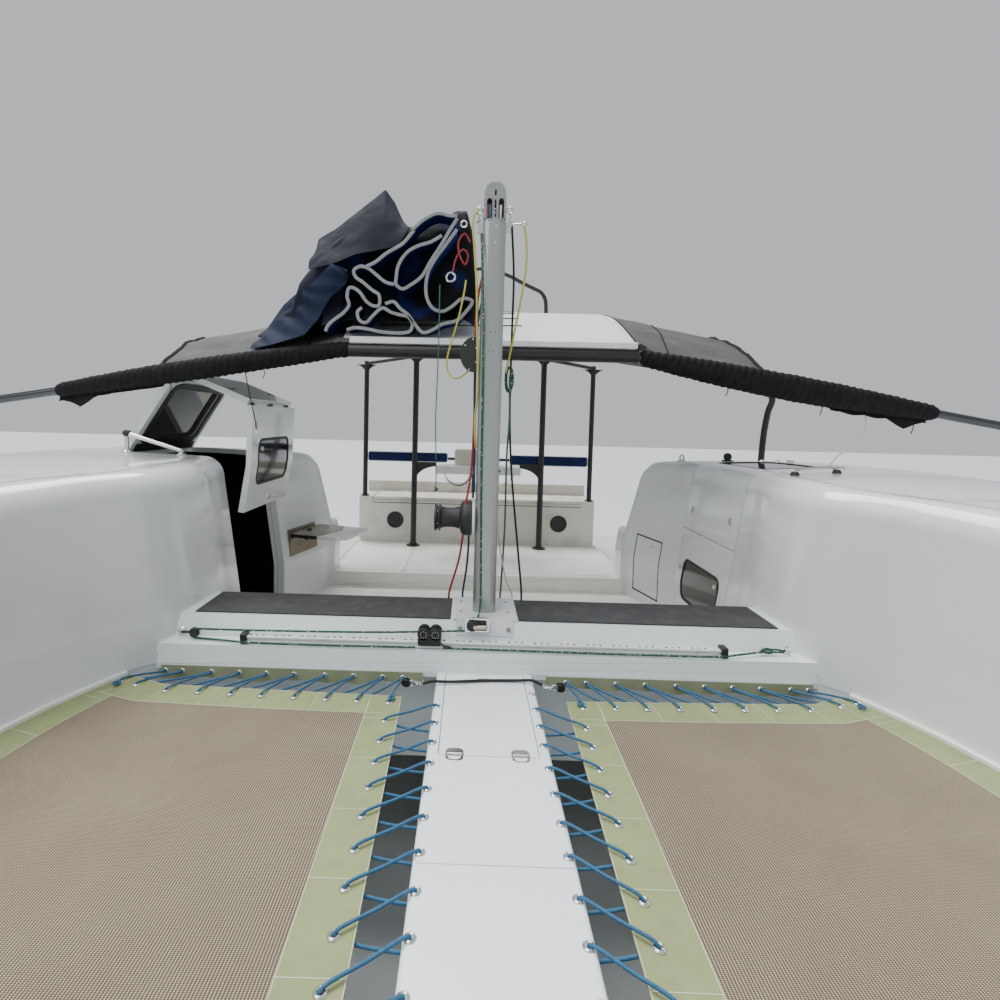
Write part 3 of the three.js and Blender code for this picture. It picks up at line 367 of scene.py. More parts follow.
def tube(points, radius, sides=10, step=0.02, smooth=True):
    path = smoothPath(points, step) if smooth else [Vector(point) for point in points]
    radiusAt = radius if callable(radius) else lambda share: radius
    rings = []
    for index, (point, (side, other)) in enumerate(zip(path, framesAlong(path))):
        size = radiusAt(index / max(1, len(path) - 1))
        rings.append([point + (side * math.cos(turn) + other * math.sin(turn)) * size
                      for turn in turns(sides)])
    return skin(rings)


def barPart(start, end, radius, sides=20):
    return tube([start, end], radius, sides, smooth=False)


# Four-sided section, narrower at its top by the slant on both sides
def flatSection(half, low, high, slant=0):
    return [(-half, low), (half, low), (half - slant, high), (-half + slant, high)]


# Flat or shaped ribbon: its section is a list of (sideways, up) places
def ribbon(points, section, step=0.02, up=(0, 0, 1), smooth=True):
    path = smoothPath(points, step) if smooth else [Vector(point) for point in points]
    rings = []
    for index, point in enumerate(path):
        before, after = path[max(0, index - 1)], path[min(len(path) - 1, index + 1)]
        ahead = (after - before).normalized()
        side = ahead.cross(Vector(up)).normalized()
        above = side.cross(ahead)
        rings.append([point + side * u + above * v for u, v in section])
    return skin(rings)


def circleAxes(axis):
    axis = Vector(axis).normalized()
    side = axis.orthogonal().normalized()
    return axis, side, axis.cross(side)


def lathe(profile, centre, axis=(0, 0, 1), sides=24):
    axis, side, other = circleAxes(axis)
    return skin([[Vector(centre) + axis * height
                  + (side * math.cos(turn) + other * math.sin(turn)) * max(radius, 1e-5)
                  for turn in turns(sides)] for radius, height in profile])


def cylinder(radius, start, end, centre, axis=(0, 0, 1), sides=24):
    return lathe([(0, start), (radius, start), (radius, end), (0, end)], centre, axis, sides)


def torus(centre, axis, radius, thick, sides=20, around=8):
    axis, side, other = circleAxes(axis)
    rings = []
    for turn in turns(sides):
        out = side * math.cos(turn) + other * math.sin(turn)
        rings.append([Vector(centre) + out * (radius + thick * math.cos(small))
                      + axis * thick * math.sin(small) for small in turns(around)])
    return skin(rings, loop=True)


def box(low, high):
    points = [(x, y, z) for z in (low[2], high[2]) for y in (low[1], high[1]) for x in (low[0], high[0])]
    return points, [(0, 2, 3, 1), (4, 5, 7, 6), (0, 1, 5, 4), (2, 6, 7, 3), (0, 4, 6, 2), (1, 3, 7, 5)]


def prism(axis, outline, low, high):
    order = {"x": lambda u, v, w: (w, u, v), "y": lambda u, v, w: (u, w, v),
             "z": lambda u, v, w: (u, v, w)}[axis]
    return skin([[order(u, v, w) for u, v in outline] for w in (low, high)])


def roundedOutline(halfU, halfV, radius, centre=(0, 0), corner=5):
    result = []
    for signU, signV, start in ((1, 1, 0), (-1, 1, 90), (-1, -1, 180), (1, -1, 270)):
        for k in range(corner + 1):
            angle = math.radians(start + 90 * k / corner)
            result.append((centre[0] + signU * (halfU - radius) + radius * math.cos(angle),
                           centre[1] + signV * (halfV - radius) + radius * math.sin(angle)))
    return result


def roundedPrism(axis, halfU, halfV, radius, centre, low, high, corner=5):
    return prism(axis, roundedOutline(halfU, halfV, radius, centre, corner), low, high)


# Closed thin sheet over a grid: place and thickness at each crossing, kind of cloth in each cell
def sheetPart(across, along, placeAt, thickAt, kindAt=lambda u, v: 0):
    rows, count = len(along), len(across)
    middle = [[Vector(placeAt(u, v)) for u in across] for v in along]
    upper, lower = [], []
    for j, v in enumerate(along):
        for i, u in enumerate(across):
            sideways = middle[j][min(i + 1, count - 1)] - middle[j][max(i - 1, 0)]
            onward = middle[min(j + 1, rows - 1)][i] - middle[max(j - 1, 0)][i]
            offset = sideways.cross(onward).normalized() * thickAt(u, v) / 2
            upper.append(tuple(middle[j][i] + offset))
            lower.append(tuple(middle[j][i] - offset))
    base, faces, kinds = rows * count, [], []
    for j in range(rows - 1):
        for i in range(count - 1):
            a, b, c, d = j * count + i, j * count + i + 1, (j + 1) * count + i + 1, (j + 1) * count + i
            faces += [(a, b, c, d), (base + d, base + c, base + b, base + a)]
            kinds += [kindAt((across[i] + across[i + 1]) / 2, (along[j] + along[j + 1]) / 2)] * 2
    rim = [*range(count), *range(2 * count - 1, rows * count, count)]
    rim += [(rows - 1) * count + i for i in range(count - 2, -1, -1)]
    rim += [j * count for j in range(rows - 2, 0, -1)]
    for a, b in zip(rim, rim[1:] + rim[:1]):
        faces.append((a, base + a, base + b, b))
        kinds.append(kindAt(across[a % count], along[a // count]))
    return (upper + lower, faces), kinds


def between(table, value):
    rows = sorted(table)
    for (start, low), (end, high) in zip(rows, rows[1:]):
        if value <= end:
            return low + (high - low) * max(0, value - start) / (end - start)
    return rows[-1][1]


def joined(*parts):
    points, faces = [], []
    for more, moreFaces in parts:
        base = len(points)
        points.extend(more)
        faces.extend(tuple(index + base for index in face) for face in moreFaces)
    return points, faces


# A list of parts counts as one part
def whole(part):
    return joined(*part) if isinstance(part, list) else part


def moved(part, matrix):
    points, faces = whole(part)
    return [tuple(matrix @ Vector(point)) for point in points], faces


def mirror(part, side):
    points, faces = whole(part)
    if side > 0:
        return points, faces
    return [(-x, y, z) for x, y, z in points], [tuple(reversed(face)) for face in faces]


def toMesh(part, name="part"):
    mesh = bpy.data.meshes.new(name)
    mesh.from_pydata([tuple(point) for point in part[0]], [], part[1])
    work = bmesh.new()
    work.from_mesh(mesh)
    bmesh.ops.recalc_face_normals(work, faces=work.faces)
    work.to_mesh(mesh)
    work.free()
    return mesh


def toPart(mesh):
    return [tuple(vertex.co) for vertex in mesh.vertices], [tuple(face.vertices) for face in mesh.polygons]


def boolean(base, operation, tools):
    mesh = toMesh(base)
    for tool in tools:
        objects = [bpy.data.objects.new("work", made) for made in (mesh, toMesh(tool))]
        for piece in objects:
            scene.collection.objects.link(piece)
        modifier = objects[0].modifiers.new("cut", "BOOLEAN")
        modifier.operation = operation
        modifier.solver = "MANIFOLD"
        modifier.object = objects[1]
        evaluated = objects[0].evaluated_get(bpy.context.evaluated_depsgraph_get())
        mesh = bpy.data.meshes.new_from_object(evaluated)
        for piece in objects:
            bpy.data.objects.remove(piece)
    return toPart(mesh)


def cut(base, *tools):
    return boolean(base, "DIFFERENCE", tools)


def common(base, *tools):
    return boolean(base, "INTERSECT", tools)


def merged(base, *tools):
    return boolean(base, "UNION", tools)


def soften(mesh, width, segments=3, angle=30):
    work = bmesh.new()
    work.from_mesh(mesh)
    bmesh.ops.remove_doubles(work, verts=work.verts, dist=1e-5)
    bmesh.ops.dissolve_limit(work, angle_limit=math.radians(0.5), verts=work.verts, edges=work.edges)
    edges = [edge for edge in work.edges if len(edge.link_faces) == 2
             and edge.calc_face_angle(0) > math.radians(angle)]
    bmesh.ops.bevel(work, geom=edges, offset=width, segments=segments, profile=0.5, affect="EDGES",
                    clamp_overlap=True)
    work.to_mesh(mesh)
    work.free()
    return mesh


bothSides = (("port", 1), ("starboard", -1))


def place(name, part, finish, body="root", sharp=35, bevel=0, replaces=(), kinds=None):
    mesh = part if isinstance(part, bpy.types.Mesh) else toMesh(whole(part), name)
    if kinds:
        mesh.polygons.foreach_set("material_index", kinds)
    if bevel:
        soften(mesh, bevel)
    finishes = finish if isinstance(finish, list) else [finish]
    for one in finishes:
        mesh.materials.append(one)
    mesh.shade_smooth()
    mesh.set_sharp_from_angle(angle=math.radians(sharp))
    piece = bpy.data.objects.new(name, mesh)
    scene.collection.objects.link(piece)
    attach(piece, body)
    if replaces:
        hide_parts(*replaces)
    if bevel:
        weighted = piece.modifiers.new("evenShade", "WEIGHTED_NORMAL")
        weighted.keep_sharp = True
    return piece


# One shape on both sides, drawn at the port side: {} in a name stands for the side
def placeBoth(name, part, finish, body="root", replaces=(), **looks):
    for side, sign in bothSides:
        place(name.format(side), mirror(part, sign), finish, body.format(side),
              replaces=[node.format(side) for node in replaces], **looks)


# Softened copy of a CAD node that stands for it
def dress(node, finish, bevel=0.003):
    mesh = toMesh(toPart(nodes[node].data), node)
    return place(node + "_shown", mesh, finish, nodes[node].parent.name.split(":")[1], bevel=bevel,
                 replaces=(node,))


def addFloor():
    floor = bpy.data.objects.new("floor", toMesh(box((-40, -40, -0.02), (40, 40, 0))))
    scene.collection.objects.link(floor)
    material = bpy.data.materials.new("floorPaint")
    material.use_nodes = True
    shader = material.node_tree.nodes["Principled BSDF"]
    shader.inputs["Base Color"].default_value = (0.62, 0.65, 0.66, 1)
    shader.inputs["Roughness"].default_value = 0.7
    floor.data.materials.append(material)


addFloor()
print("finishes and floor done", flush=True)

# Hull stations: place along the boat, inner and outer face at the rim, half breadth at the water, depth
stations = [
    (-4.2, 1.886, 1.934, 0.01, -0.06), (-3.9, 1.8, 2.04, 0.062, -0.25), (-3.2, 1.706, 2.22, 0.172, -0.39),
    (-2.4, 1.62, 2.385, 0.27, -0.44), (-1.5, 1.53, 2.53, 0.34, -0.45), (-0.7, 1.428, 2.625, 0.375, -0.45),
    (-0.345, 1.298, 2.655, 0.381, -0.45), (-0.25, 1.222, 2.662, 0.382, -0.45),
    (-0.1, 1.168, 2.672, 0.385, -0.45), (0.13, 1.162, 2.682, 0.388, -0.45),
    (0.495, 1.22, 2.692, 0.39, -0.45), (1.16, 1.22, 2.7, 0.39, -0.445), (1.64, 1.091, 2.698, 0.389, -0.44),
    (1.7, 1.082, 2.697, 0.388, -0.438), (1.74, 1.05, 2.697, 0.388, -0.436),
    (1.9, 1.05, 2.695, 0.387, -0.425), (1.96, 1.091, 2.693, 0.386, -0.42), (3.2, 1.091, 2.65, 0.378, -0.33),
    (4.0, 1.16, 2.59, 0.36, -0.25), (4.7, 1.42, 2.48, 0.335, -0.17),
]
# Deck stations: place, height of the side deck, share of the cabin's full height
deckStations = [
    (-4.17, 1.04, 0), (-3.6, 1.03, 0), (-2.7, 1.015, 0.02), (-2.3, 1.008, 0.16), (-1.9, 1.004, 0.48),
    (-1.4, 1.0, 0.8), (-0.8, 1.0, 0.93), (-0.345, 1.0, 0.97), (-0.1, 1.0, 0.985), (0.13, 1.0, 0.995),
    (0.495, 1.0, 1), (1.16, 1.0, 0.982), (1.44, 1.003, 0.955), (1.64, 1.01, 0.915), (1.7, 1.03, 0.84),
    (1.74, 1.06, 0.02), (1.9, 1.06, 0),
]
hull = {"centre": 1.91, "rim": 0.9, "wing": 0.48, "cabinTop": 1.638, "lean": 0.09 / 0.64, "wall": 0.03,
        "slant": (1.16, 1.64)}
door = {"start": 0.495, "end": 1.145, "sill": 0.65, "top": 1.205, "gap": 0.006,
        "hinges": (0.56, 0.82, 1.08)}
hinge = {"x": 1.833, "z": 1.63, "open": 60, "hang": 69.5}


def columnAt(table, column, y):
    last = len(table) - 1
    inside = min(max(y, table[0][0]), table[last][0])
    i = 0
    while i < last - 1 and inside > table[i + 1][0]:
        i += 1

    def slope(k):
        return (table[k + 1][column] - table[k][column]) / (table[k + 1][0] - table[k][0])

    def tangent(k):
        if k in (0, last):
            return slope(0 if k == 0 else last - 1)
        before, after = slope(k - 1), slope(k)
        return 0 if before * after <= 0 else 2 * before * after / (before + after)

    span = table[i + 1][0] - table[i][0]
    t = (inside - table[i][0]) / span
    if column == 1 and table is stations and hull["slant"][0] <= inside <= hull["slant"][1]:
        return table[i][1] + (table[i + 1][1] - table[i][1]) * t
    weights = (2 * t ** 3 - 3 * t ** 2 + 1, t ** 3 - 2 * t ** 2 + t, 3 * t ** 2 - 2 * t ** 3,
               t ** 3 - t ** 2)
    return (weights[0] * table[i][column] + weights[1] * span * tangent(i)
            + weights[2] * table[i + 1][column] + weights[3] * span * tangent(i + 1))


def hullRing(y, grow, top):
    inner = columnAt(stations, 1, y) - grow
    outer = columnAt(stations, 2, y) + grow
    water = columnAt(stations, 3, y) + grow
    keel = columnAt(stations, 4, y) - grow
    innerWater = max(hull["centre"] - water, inner + 0.004)
    outerWater = min(hull["centre"] + water, outer - 0.004)
    half, middle = (outerWater - innerWater) / 2, (outerWater + innerWater) / 2
    wing = hull["wing"]
    points = [(inner, top), (inner, wing - grow),
              (inner + 0.12 * (innerWater - inner), wing - 0.028 - grow),
              (inner + 0.35 * (innerWater - inner), wing - 0.07 - grow),
              (innerWater - 0.2 * (innerWater - inner), wing - 0.17 - grow)]
    for k in range(25):
        angle = math.pi * k / 24
        points.append((middle - half * math.cos(angle), keel * math.sin(angle) ** 0.8))
    rise = outer - outerWater
    for share, z in ((0.22, 0.17), (0.45, 0.33), (0.7, 0.5), (0.88, 0.66), (0.965, 0.74), (1, 0.8),
                     (1, top)):
        points.append((outerWater + share * rise, z))
    return [(x, y, z) for x, z in points]


def deckRing(y, grow, bottom, fine=10):
    rise = columnAt(deckStations, 2, y)
    deck = columnAt(deckStations, 1, y) + grow
    inner = columnAt(stations, 1, y) - grow
    outer = columnAt(stations, 2, y) + grow
    top = deck + rise * (hull["cabinTop"] + grow - deck)
    width = outer - inner
    shoulder = min(0.03 + 0.07 * rise, width * 0.2)
    wallTop = top - 0.03 - shoulder * 0.95
    wallTopX = inner + hull["lean"] * max(0, wallTop - hull["rim"])
    roofEdge = top - 0.05 * shoulder - 0.014 * rise
    cabinOuter = inner + width * 0.87
    points = [(inner, bottom), (inner, hull["rim"])]
    for k in range(fine + 1):
        angle = math.pi / 2 * k / fine
        points.append((wallTopX + shoulder * (1 - math.cos(angle)),
                       wallTop + (roofEdge - wallTop) * math.sin(angle)))
    roofStart, roofEnd = wallTopX + shoulder, cabinOuter - shoulder * 2
    for k in range(1, 8):
        share = k / 8
        crown = 0.014 * rise * (1 - (2 * share - 1) ** 2)
        points.append((roofStart + share * (roofEnd - roofStart), roofEdge + crown))
    for k in range(fine + 1):
        angle = math.pi / 2 * k / fine
        points.append((roofEnd + (cabinOuter - roofEnd) * math.sin(angle),
                       deck + (roofEdge - deck) * (0.62 + 0.38 * math.cos(angle))))
    points += [(cabinOuter + 0.02 * width, deck + (roofEdge - deck) * 0.3 + 0.002),
               (cabinOuter + 0.04 * width, deck + 0.004), (outer - 0.02 * width, deck),
               (outer - 0.006, deck - 0.004), (outer, deck - 0.02), (outer, bottom)]
    return [(x, y, z) for x, z in points]


def placesAlong(table, start, end, step):
    inside = [row[0] for row in table if start < row[0] < end]
    places = [start]
    for y in inside + [end]:
        first = places[-1]
        parts = max(1, round((y - first) / step))
        places.extend(first + (y - first) * k / parts for k in range(1, parts + 1))
    return places


def hullLoft(grow, start, end, top=None, step=0.09):
    return skin([hullRing(y, grow, hull["rim"] if top is None else top)
                 for y in placesAlong(stations, start, end, step)])


def deckLoft(grow, start, end, bottom=0.9004, step=0.07):
    return skin([deckRing(y, grow, bottom) for y in placesAlong(deckStations, start, end, step)])


def leanAt(z):
    return hull["lean"] * max(0, z - hull["rim"])


locker = {"x": 1.1394, "y": 1.46, "width": 0.3, "low": 0.669, "high": 1.065,
          "turn": math.atan2(0.129, 0.48)}
# Place on the slanted wall: distance outside it, along it and height
lockerFrame = Matrix.Translation((locker["x"], locker["y"], 0)) @ Matrix.Rotation(locker["turn"], 4, "Z")
windows = {"side": ((2.35, -0.7, 1.13), (2.75, 0.3, 1.3)), "roof": ((1.415, 0.56), (1.755, 1.085)),
           "door": ((0.59, 0.8), (1.045, 1.03))}
aftSteps = [(1.9, 3.65, 0.62), (3.65, 4.2, 0.4), (4.2, 4.71, 0.24)]


def windowPrism(axis, low, high, radius, start, end):
    half = ((high[0] - low[0]) / 2, (high[1] - low[1]) / 2)
    centre = ((high[0] + low[0]) / 2, (high[1] + low[1]) / 2)
    return prism(axis, roundedOutline(*half, radius, centre), start, end)


def isLining(shape, face, insides):
    centre = sum((Vector(shape[0][index]) for index in face), Vector()) / len(face)
    return any(tree.find_nearest(centre)[3] < 0.0006 for tree in insides)


def buildShells():
    cabin = (-1.7, 1.65)
    below = common(hullLoft(-hull["wall"], *cabin, top=0.92),
                   box((1.1, cabin[0], 0.06), (2.8, cabin[1], 0.91)))
    above = deckLoft(-hull["wall"], *cabin, bottom=0.89)
    doorWay = box((1.1, door["start"], door["sill"]), (1.4, door["end"], door["top"] + 0.04))
    hatchWay = box((1.1, door["start"], door["top"]), (hinge["x"], door["end"], 1.8))
    side = windows["side"]
    windowWay = windowPrism("x", side[0][1:], side[1][1:], 0.06, 2.3, 2.75)
    lockerWay = moved(box((-0.09, -locker["width"] / 2, locker["low"]),
                          (0.12, locker["width"] / 2, locker["high"])), lockerFrame)
    fin = prism("x", [(-0.5, -0.38), (1.5, -0.38), (1.25, -0.79), (-0.15, -0.79)], hull["centre"] - 0.06,
                hull["centre"] + 0.06)
    steps = [box((1.0, start, z), (2.8, end + 0.001, 1.0)) for start, end, z in aftSteps]
    body = merged(hullLoft(0, stations[0][0], stations[-1][0]), fin)
    body = cut(body, merged(below, doorWay), *steps)
    top = cut(deckLoft(0, -4.17, 1.9), merged(above, doorWay, hatchWay, windowWay))
    insides = [BVHTree.FromPolygons([Vector(point) for point in part[0]], part[1])
               for part in (below, above)]
    for side, sign in bothSides:
        cuts = (lockerWay,) if sign > 0 else ()
        for node, part in (("hull", body), ("deck", top)):
            shape = cut(part, *cuts)
            # faces on the cabin's inner walls take lining, painted shade for the dark cabin inside
            inside = [int(isLining(shape, face, insides)) for face in shape[1]]
            place(f"{node}_{side}_shown", mirror(shape, sign), [gelcoat, lining], sharp=32, kinds=inside,
                  replaces=(f"{node}_{side}",))
    print("hulls and decks done", flush=True)
    leafBox = box((1.1, door["start"] + door["gap"], door["top"] + door["gap"] / 2),
                  (hinge["x"] - door["gap"], door["end"] - door["gap"], 1.8))
    outerSkin = common(deckLoft(0, 0.4, 1.3, 0.7), leafBox)
    roofHole = windowPrism("z", *windows["roof"], 0.05, 1.5, 1.8)
    return cut(outerSkin, deckLoft(-hull["wall"], 0.35, 1.35, 0.69), roofHole)


leafShape = buildShells()
print("hatch shape done", flush=True)

# Trampolines: rear edge, inner edge for each side, border, and lacing (first spine eyelet, first net eyelet)
nets = {
    "rear": ((0.2, -0.43), (0.285, -0.427), (1.11, -0.394), (1.3, -0.332)), "front": -2.95, "border": 0.11,
    "height": 0.8915, "sag": 0.012, "pitch": 0.1003, "eyelet": 0.0125, "rope": 0.0036, "spineEyelet": 0.16,
    "port": {"edge": ((-2.95, 0.245), (-1.4, 0.245), (-0.43, 0.271)), "spine": -0.395, "net": -0.587,
             "skip": 1},
    "starboard": {"edge": ((-2.95, 0.257), (-1.4, 0.257), (-0.43, 0.283)), "spine": -0.493, "net": -0.582,
                  "skip": 0},
    "stripEyelets": (1.184, 1.121, 1.011, 0.909, 0.807, 0.704, 0.591, 0.484, 0.375, 0.301),
    "rearEyelets": (1.276, 1.206, 1.085, 0.972, 0.861, 0.755, 0.643, 0.534, 0.429, 0.323),
    "strip": {"from": 0.227, "to": 1.2, "y": -0.2605, "top": 0.8985, "bottom": 0.852},
}


def netPoint(side, u, v):
    rearX = 0.28 + u * 1.02
    y = between(nets["rear"], rearX) * (1 - v) + nets["front"] * v
    inner = between(nets[side]["edge"], y)
    outer = columnAt(stations, 1, y) - 0.014
    sag = nets["sag"] * math.sin(math.pi * u) * math.sin(math.pi * v) ** 0.5 if 0 < v < 1 else 0
    ripple = 0.002 * noise(Vector((u * 6, v * 9, 1))) * math.sin(math.pi * u)
    return Vector((inner + (outer - inner) * u, y, nets["height"] - sag + ripple))


def eyeletPart(centre, size, axis=(0, 0, 1)):
    rings = [(0.46, -0.1), (0.46, 0.16), (0.66, 0.3), (0.94, 0.13), (1.0, 0.0), (1.0, -0.1)]
    axis, side, other = circleAxes(axis)
    loops = [[Vector(centre) + (side * math.cos(turn) + other * math.sin(turn)) * size * ring
              + axis * size * height for ring, height in rings] for turn in turns(20)]
    return skin(loops, loop=True)


def netBorders():
    width = nets["border"]
    long, wide = 2.5, 1.1
    across = [0, 0.012, width / 2 / wide, width / wide]
    across += [width / wide + (1 - 2 * width / wide) * k / 22 for k in range(1, 22)]
    across += [1 - width / wide, 1 - width / 2 / wide, 0.988, 1]
    along = [0, 0.006, width / 2 / long, width / long]
    along += [width / long + (1 - 2 * width / long) * k / 40 for k in range(1, 40)]
    along += [1 - width / long, 1 - width / 2 / long, 0.994, 1]
    return across, along, width / wide, width / long


stitchSection = flatSection(0.0008, -0.0003, 0.0004)


def buildNet(side, sign):
    across, along, wide, long = netBorders()

    def hemmed(u, v):
        return not (wide < u < 1 - wide and long < v < 1 - long)

    part, kinds = sheetPart(across, along, lambda u, v: netPoint(side, u, v),
                            lambda u, v: 0.0034 if hemmed(u, v) else 0.002, lambda u, v: int(hemmed(u, v)))
    net = place(f"trampoline_{side}_shown", mirror(part, sign), [netCloth, sageCloth], kinds=kinds,
                replaces=(f"trampoline_{side}",))
    above = upBy(0.0021)
    lines = []
    for inset in (0.012, 0.985):
        for path in ([netPoint(side, inset * wide, k / 60) for k in range(1, 60)],
                     [netPoint(side, 1 - inset * wide, k / 60) for k in range(1, 60)],
                     [netPoint(side, k / 40, inset * long) for k in range(1, 40)],
                     [netPoint(side, k / 40, 1 - inset * long) for k in range(1, 40)]):
            lines.append(ribbon([point + above for point in path], stitchSection, smooth=False))
    for k in range(13):
        v = 0.055 + k * 0.079
        for start in (0, 1 - wide):
            path = [netPoint(side, start + wide * step / 4, v) + above for step in range(5)]
            lines.append(ribbon(path, stitchSection, smooth=False))
    for k in range(6):
        u = 0.1 + k * 0.17
        path = [netPoint(side, u, long * step / 4) + above for step in range(5)]
        lines.append(ribbon(path, stitchSection, smooth=False))
    stitching = place(f"net_stitching_{side}", mirror(lines, sign), stitch)
    return net, stitching


# One pass goes over the border and down through the eyelets, the next comes back underneath
def laceOver(start, end):
    ahead = (end - start).normalized()
    down = upBy(-0.011)
    return tube([start + down, start + down * 0.1, start + ahead * 0.012 + upBy(0.0035),
                 start.lerp(end, 0.5) + upBy(0.002), end - ahead * 0.012 + upBy(0.0035), end + down * 0.1,
                 end + down], nets["rope"], 8, 0.006)


def laceUnder(start, end):
    return tube([start, start.lerp(end, 0.5) + upBy(-0.004), end], nets["rope"], 8, 0.02)


def buildLacing(side, sign):
    random.seed(31 if sign > 0 else 32)
    row = nets[side]
    rings, ropes, knots = [], [], []
    count = int((2.86 + row["net"]) / nets["pitch"])
    spine = [Vector((nets["spineEyelet"], row["spine"] - nets["pitch"] * k + random.uniform(-0.003, 0.003),
                     0.9005)) for k in range(count + 2 + row["skip"])]
    net = []
    for k in range(count + 1):
        y = row["net"] - nets["pitch"] * k + random.uniform(-0.004, 0.004)
        net.append(Vector((between(row["edge"], y) + 0.04, y, nets["height"] + 0.0022)))
    for point in spine + net:
        rings.append(eyeletPart(point, nets["eyelet"]))
    lift = upBy(0.0042)
    for k, point in enumerate(net):
        ropes.append(laceOver(point + lift, spine[k + row["skip"]] + lift))
        back = spine[k + row["skip"] + 1]
        ropes.append(laceUnder(point + upBy(-0.006), Vector((0.17, back.y, 0.872))))
    strip = nets["strip"]
    high = [Vector((x, strip["y"] - 0.003, 0.8775)) for x in nets["stripEyelets"]]
    low = [Vector((x, between(nets["rear"], x) - 0.042, nets["height"] + 0.0022))
           for x in nets["rearEyelets"]]
    rings += [eyeletPart(point, nets["eyelet"] * 0.9, (0, -1, 0.3)) for point in high]
    rings += [eyeletPart(point, nets["eyelet"]) for point in low]
    for k, (top, bottom) in enumerate(zip(high, low)):
        start, end = top + Vector((0, -0.004, 0)), bottom + lift
        ropes.append(tube([start + Vector((0, 0.008, 0)), start + Vector((0, -0.004, 0.001)),
                           start.lerp(end, 0.55) + upBy(0.004), end, end + upBy(-0.011)], nets["rope"], 8,
                          0.008))
        if k + 1 < len(high):
            ropes.append(laceUnder(high[k + 1] + Vector((0, 0.004, -0.002)),
                                   bottom + Vector((0, 0.01, -0.006))))
    for k in range(13):
        x = 0.34 + 0.1 * k
        point = Vector((x, nets["front"] + 0.04, nets["height"] + 0.0022))
        rings.append(eyeletPart(point, nets["eyelet"]))
        loop = [point + upBy(-0.01), point + lift, point + Vector((0.02, -0.07, 0.006)),
                Vector((x + 0.03, -3.0, 0.8895)), Vector((x + 0.045, -3.05, 0.8905)),
                Vector((x + 0.05, -3.1, 0.866)), Vector((x + 0.05, -3.11, 0.82)),
                Vector((x + 0.05, -3.05, 0.7705)), Vector((x + 0.06, -2.985, 0.8)),
                Vector((x + 0.09, -2.93, 0.883))]
        ropes.append(tube(loop, nets["rope"], 8, 0.02))
    for x, y in ((0.315, -0.452), (1.268, -0.412)):
        centre = Vector((x, y, nets["height"] + 0.008))
        knots.append(tube([centre
                           + Vector((0.009 * math.cos(k * 1.1), 0.012 * math.sin(k * 1.1), 0.002 * (k % 3)))
                           for k in range(14)], nets["rope"], 8, 0.006))
    eyelets = place(f"net_eyelets_{side}", mirror(rings, sign), chrome, sharp=50)
    place(f"net_lacing_{side}", mirror([*ropes, *knots], sign), laceBlue, sharp=60)
    return eyelets


# Cloth strip under the flange of the mast beam, with a wavy lower edge
def buildStrip(side, sign):
    strip = nets["strip"]

    def placeAt(u, v):
        x = strip["from"] + (strip["to"] - strip["from"]) * u
        wave = 0.004 * math.sin(u * 19 + sign) + 0.003 * math.sin(u * 47)
        low = strip["bottom"] + wave + 0.014 * (1 - u) ** 6
        return Vector((x, strip["y"] - 0.003 * v * math.sin(u * 33),
                       strip["top"] + (low - strip["top"]) * v))

    part = sheetPart(shares(60), shares(5), placeAt, lambda u, v: 0.002)[0]
    piece = place(f"net_strip_{side}", mirror(part, sign), sageStrip)
    rod = barPart((strip["from"] + 0.01, -0.2575, 0.893), (strip["to"], -0.2575, 0.893), 0.0032, 8)
    place(f"net_rod_{side}", mirror(rod, sign), whitePlastic)


def buildNets():
    for side, sign in bothSides:
        net, stitching = buildNet(side, sign)
        eyelets = buildLacing(side, sign)
        buildStrip(side, sign)
        track = [Vector((columnAt(stations, 1, y) - 0.006, y, 0.899))
                 for y in placesAlong(stations, -2.95, -0.335, 0.12)]
        rail = ribbon(track, [(-0.012, -0.011), (0.005, -0.011), (0.005, 0.007), (0.001, 0.01),
                              (-0.007, 0.01), (-0.012, 0.005)], smooth=False)
        place(f"bolt_rope_track_{side}", mirror(rail, sign), whitePlastic)


buildNets()
print("trampolines done", flush=True)


def screwPart(centre, radius, axis=(0, 0, 1), washer=0):
    profile = [(0, 0), (radius, 0), (radius, 0.0008), (radius * 0.8, 0.0016), (radius * 0.3, 0.0014),
               (0, 0.0006)]
    if not washer:
        return lathe(profile, centre, axis, 16)
    lifted = [(size, height + 0.0014) for size, height in profile]
    return joined(lathe([(0, 0), (washer, 0), (washer, 0.0012), (0, 0.0016)], centre, axis, 20),
                  lathe(lifted, centre, axis, 16))


# Central spine: half width, lid, latches and drain
spine = {"half": 0.175, "front": -2.995, "rear": -0.253, "top": 0.9, "bottom": 0.78, "seam": -1.126,
         "lid": (0.1425, -0.7535, -0.262), "latches": (-0.096, 0.089), "latchY": -0.751,
         "drain": (-0.005, -0.3)}


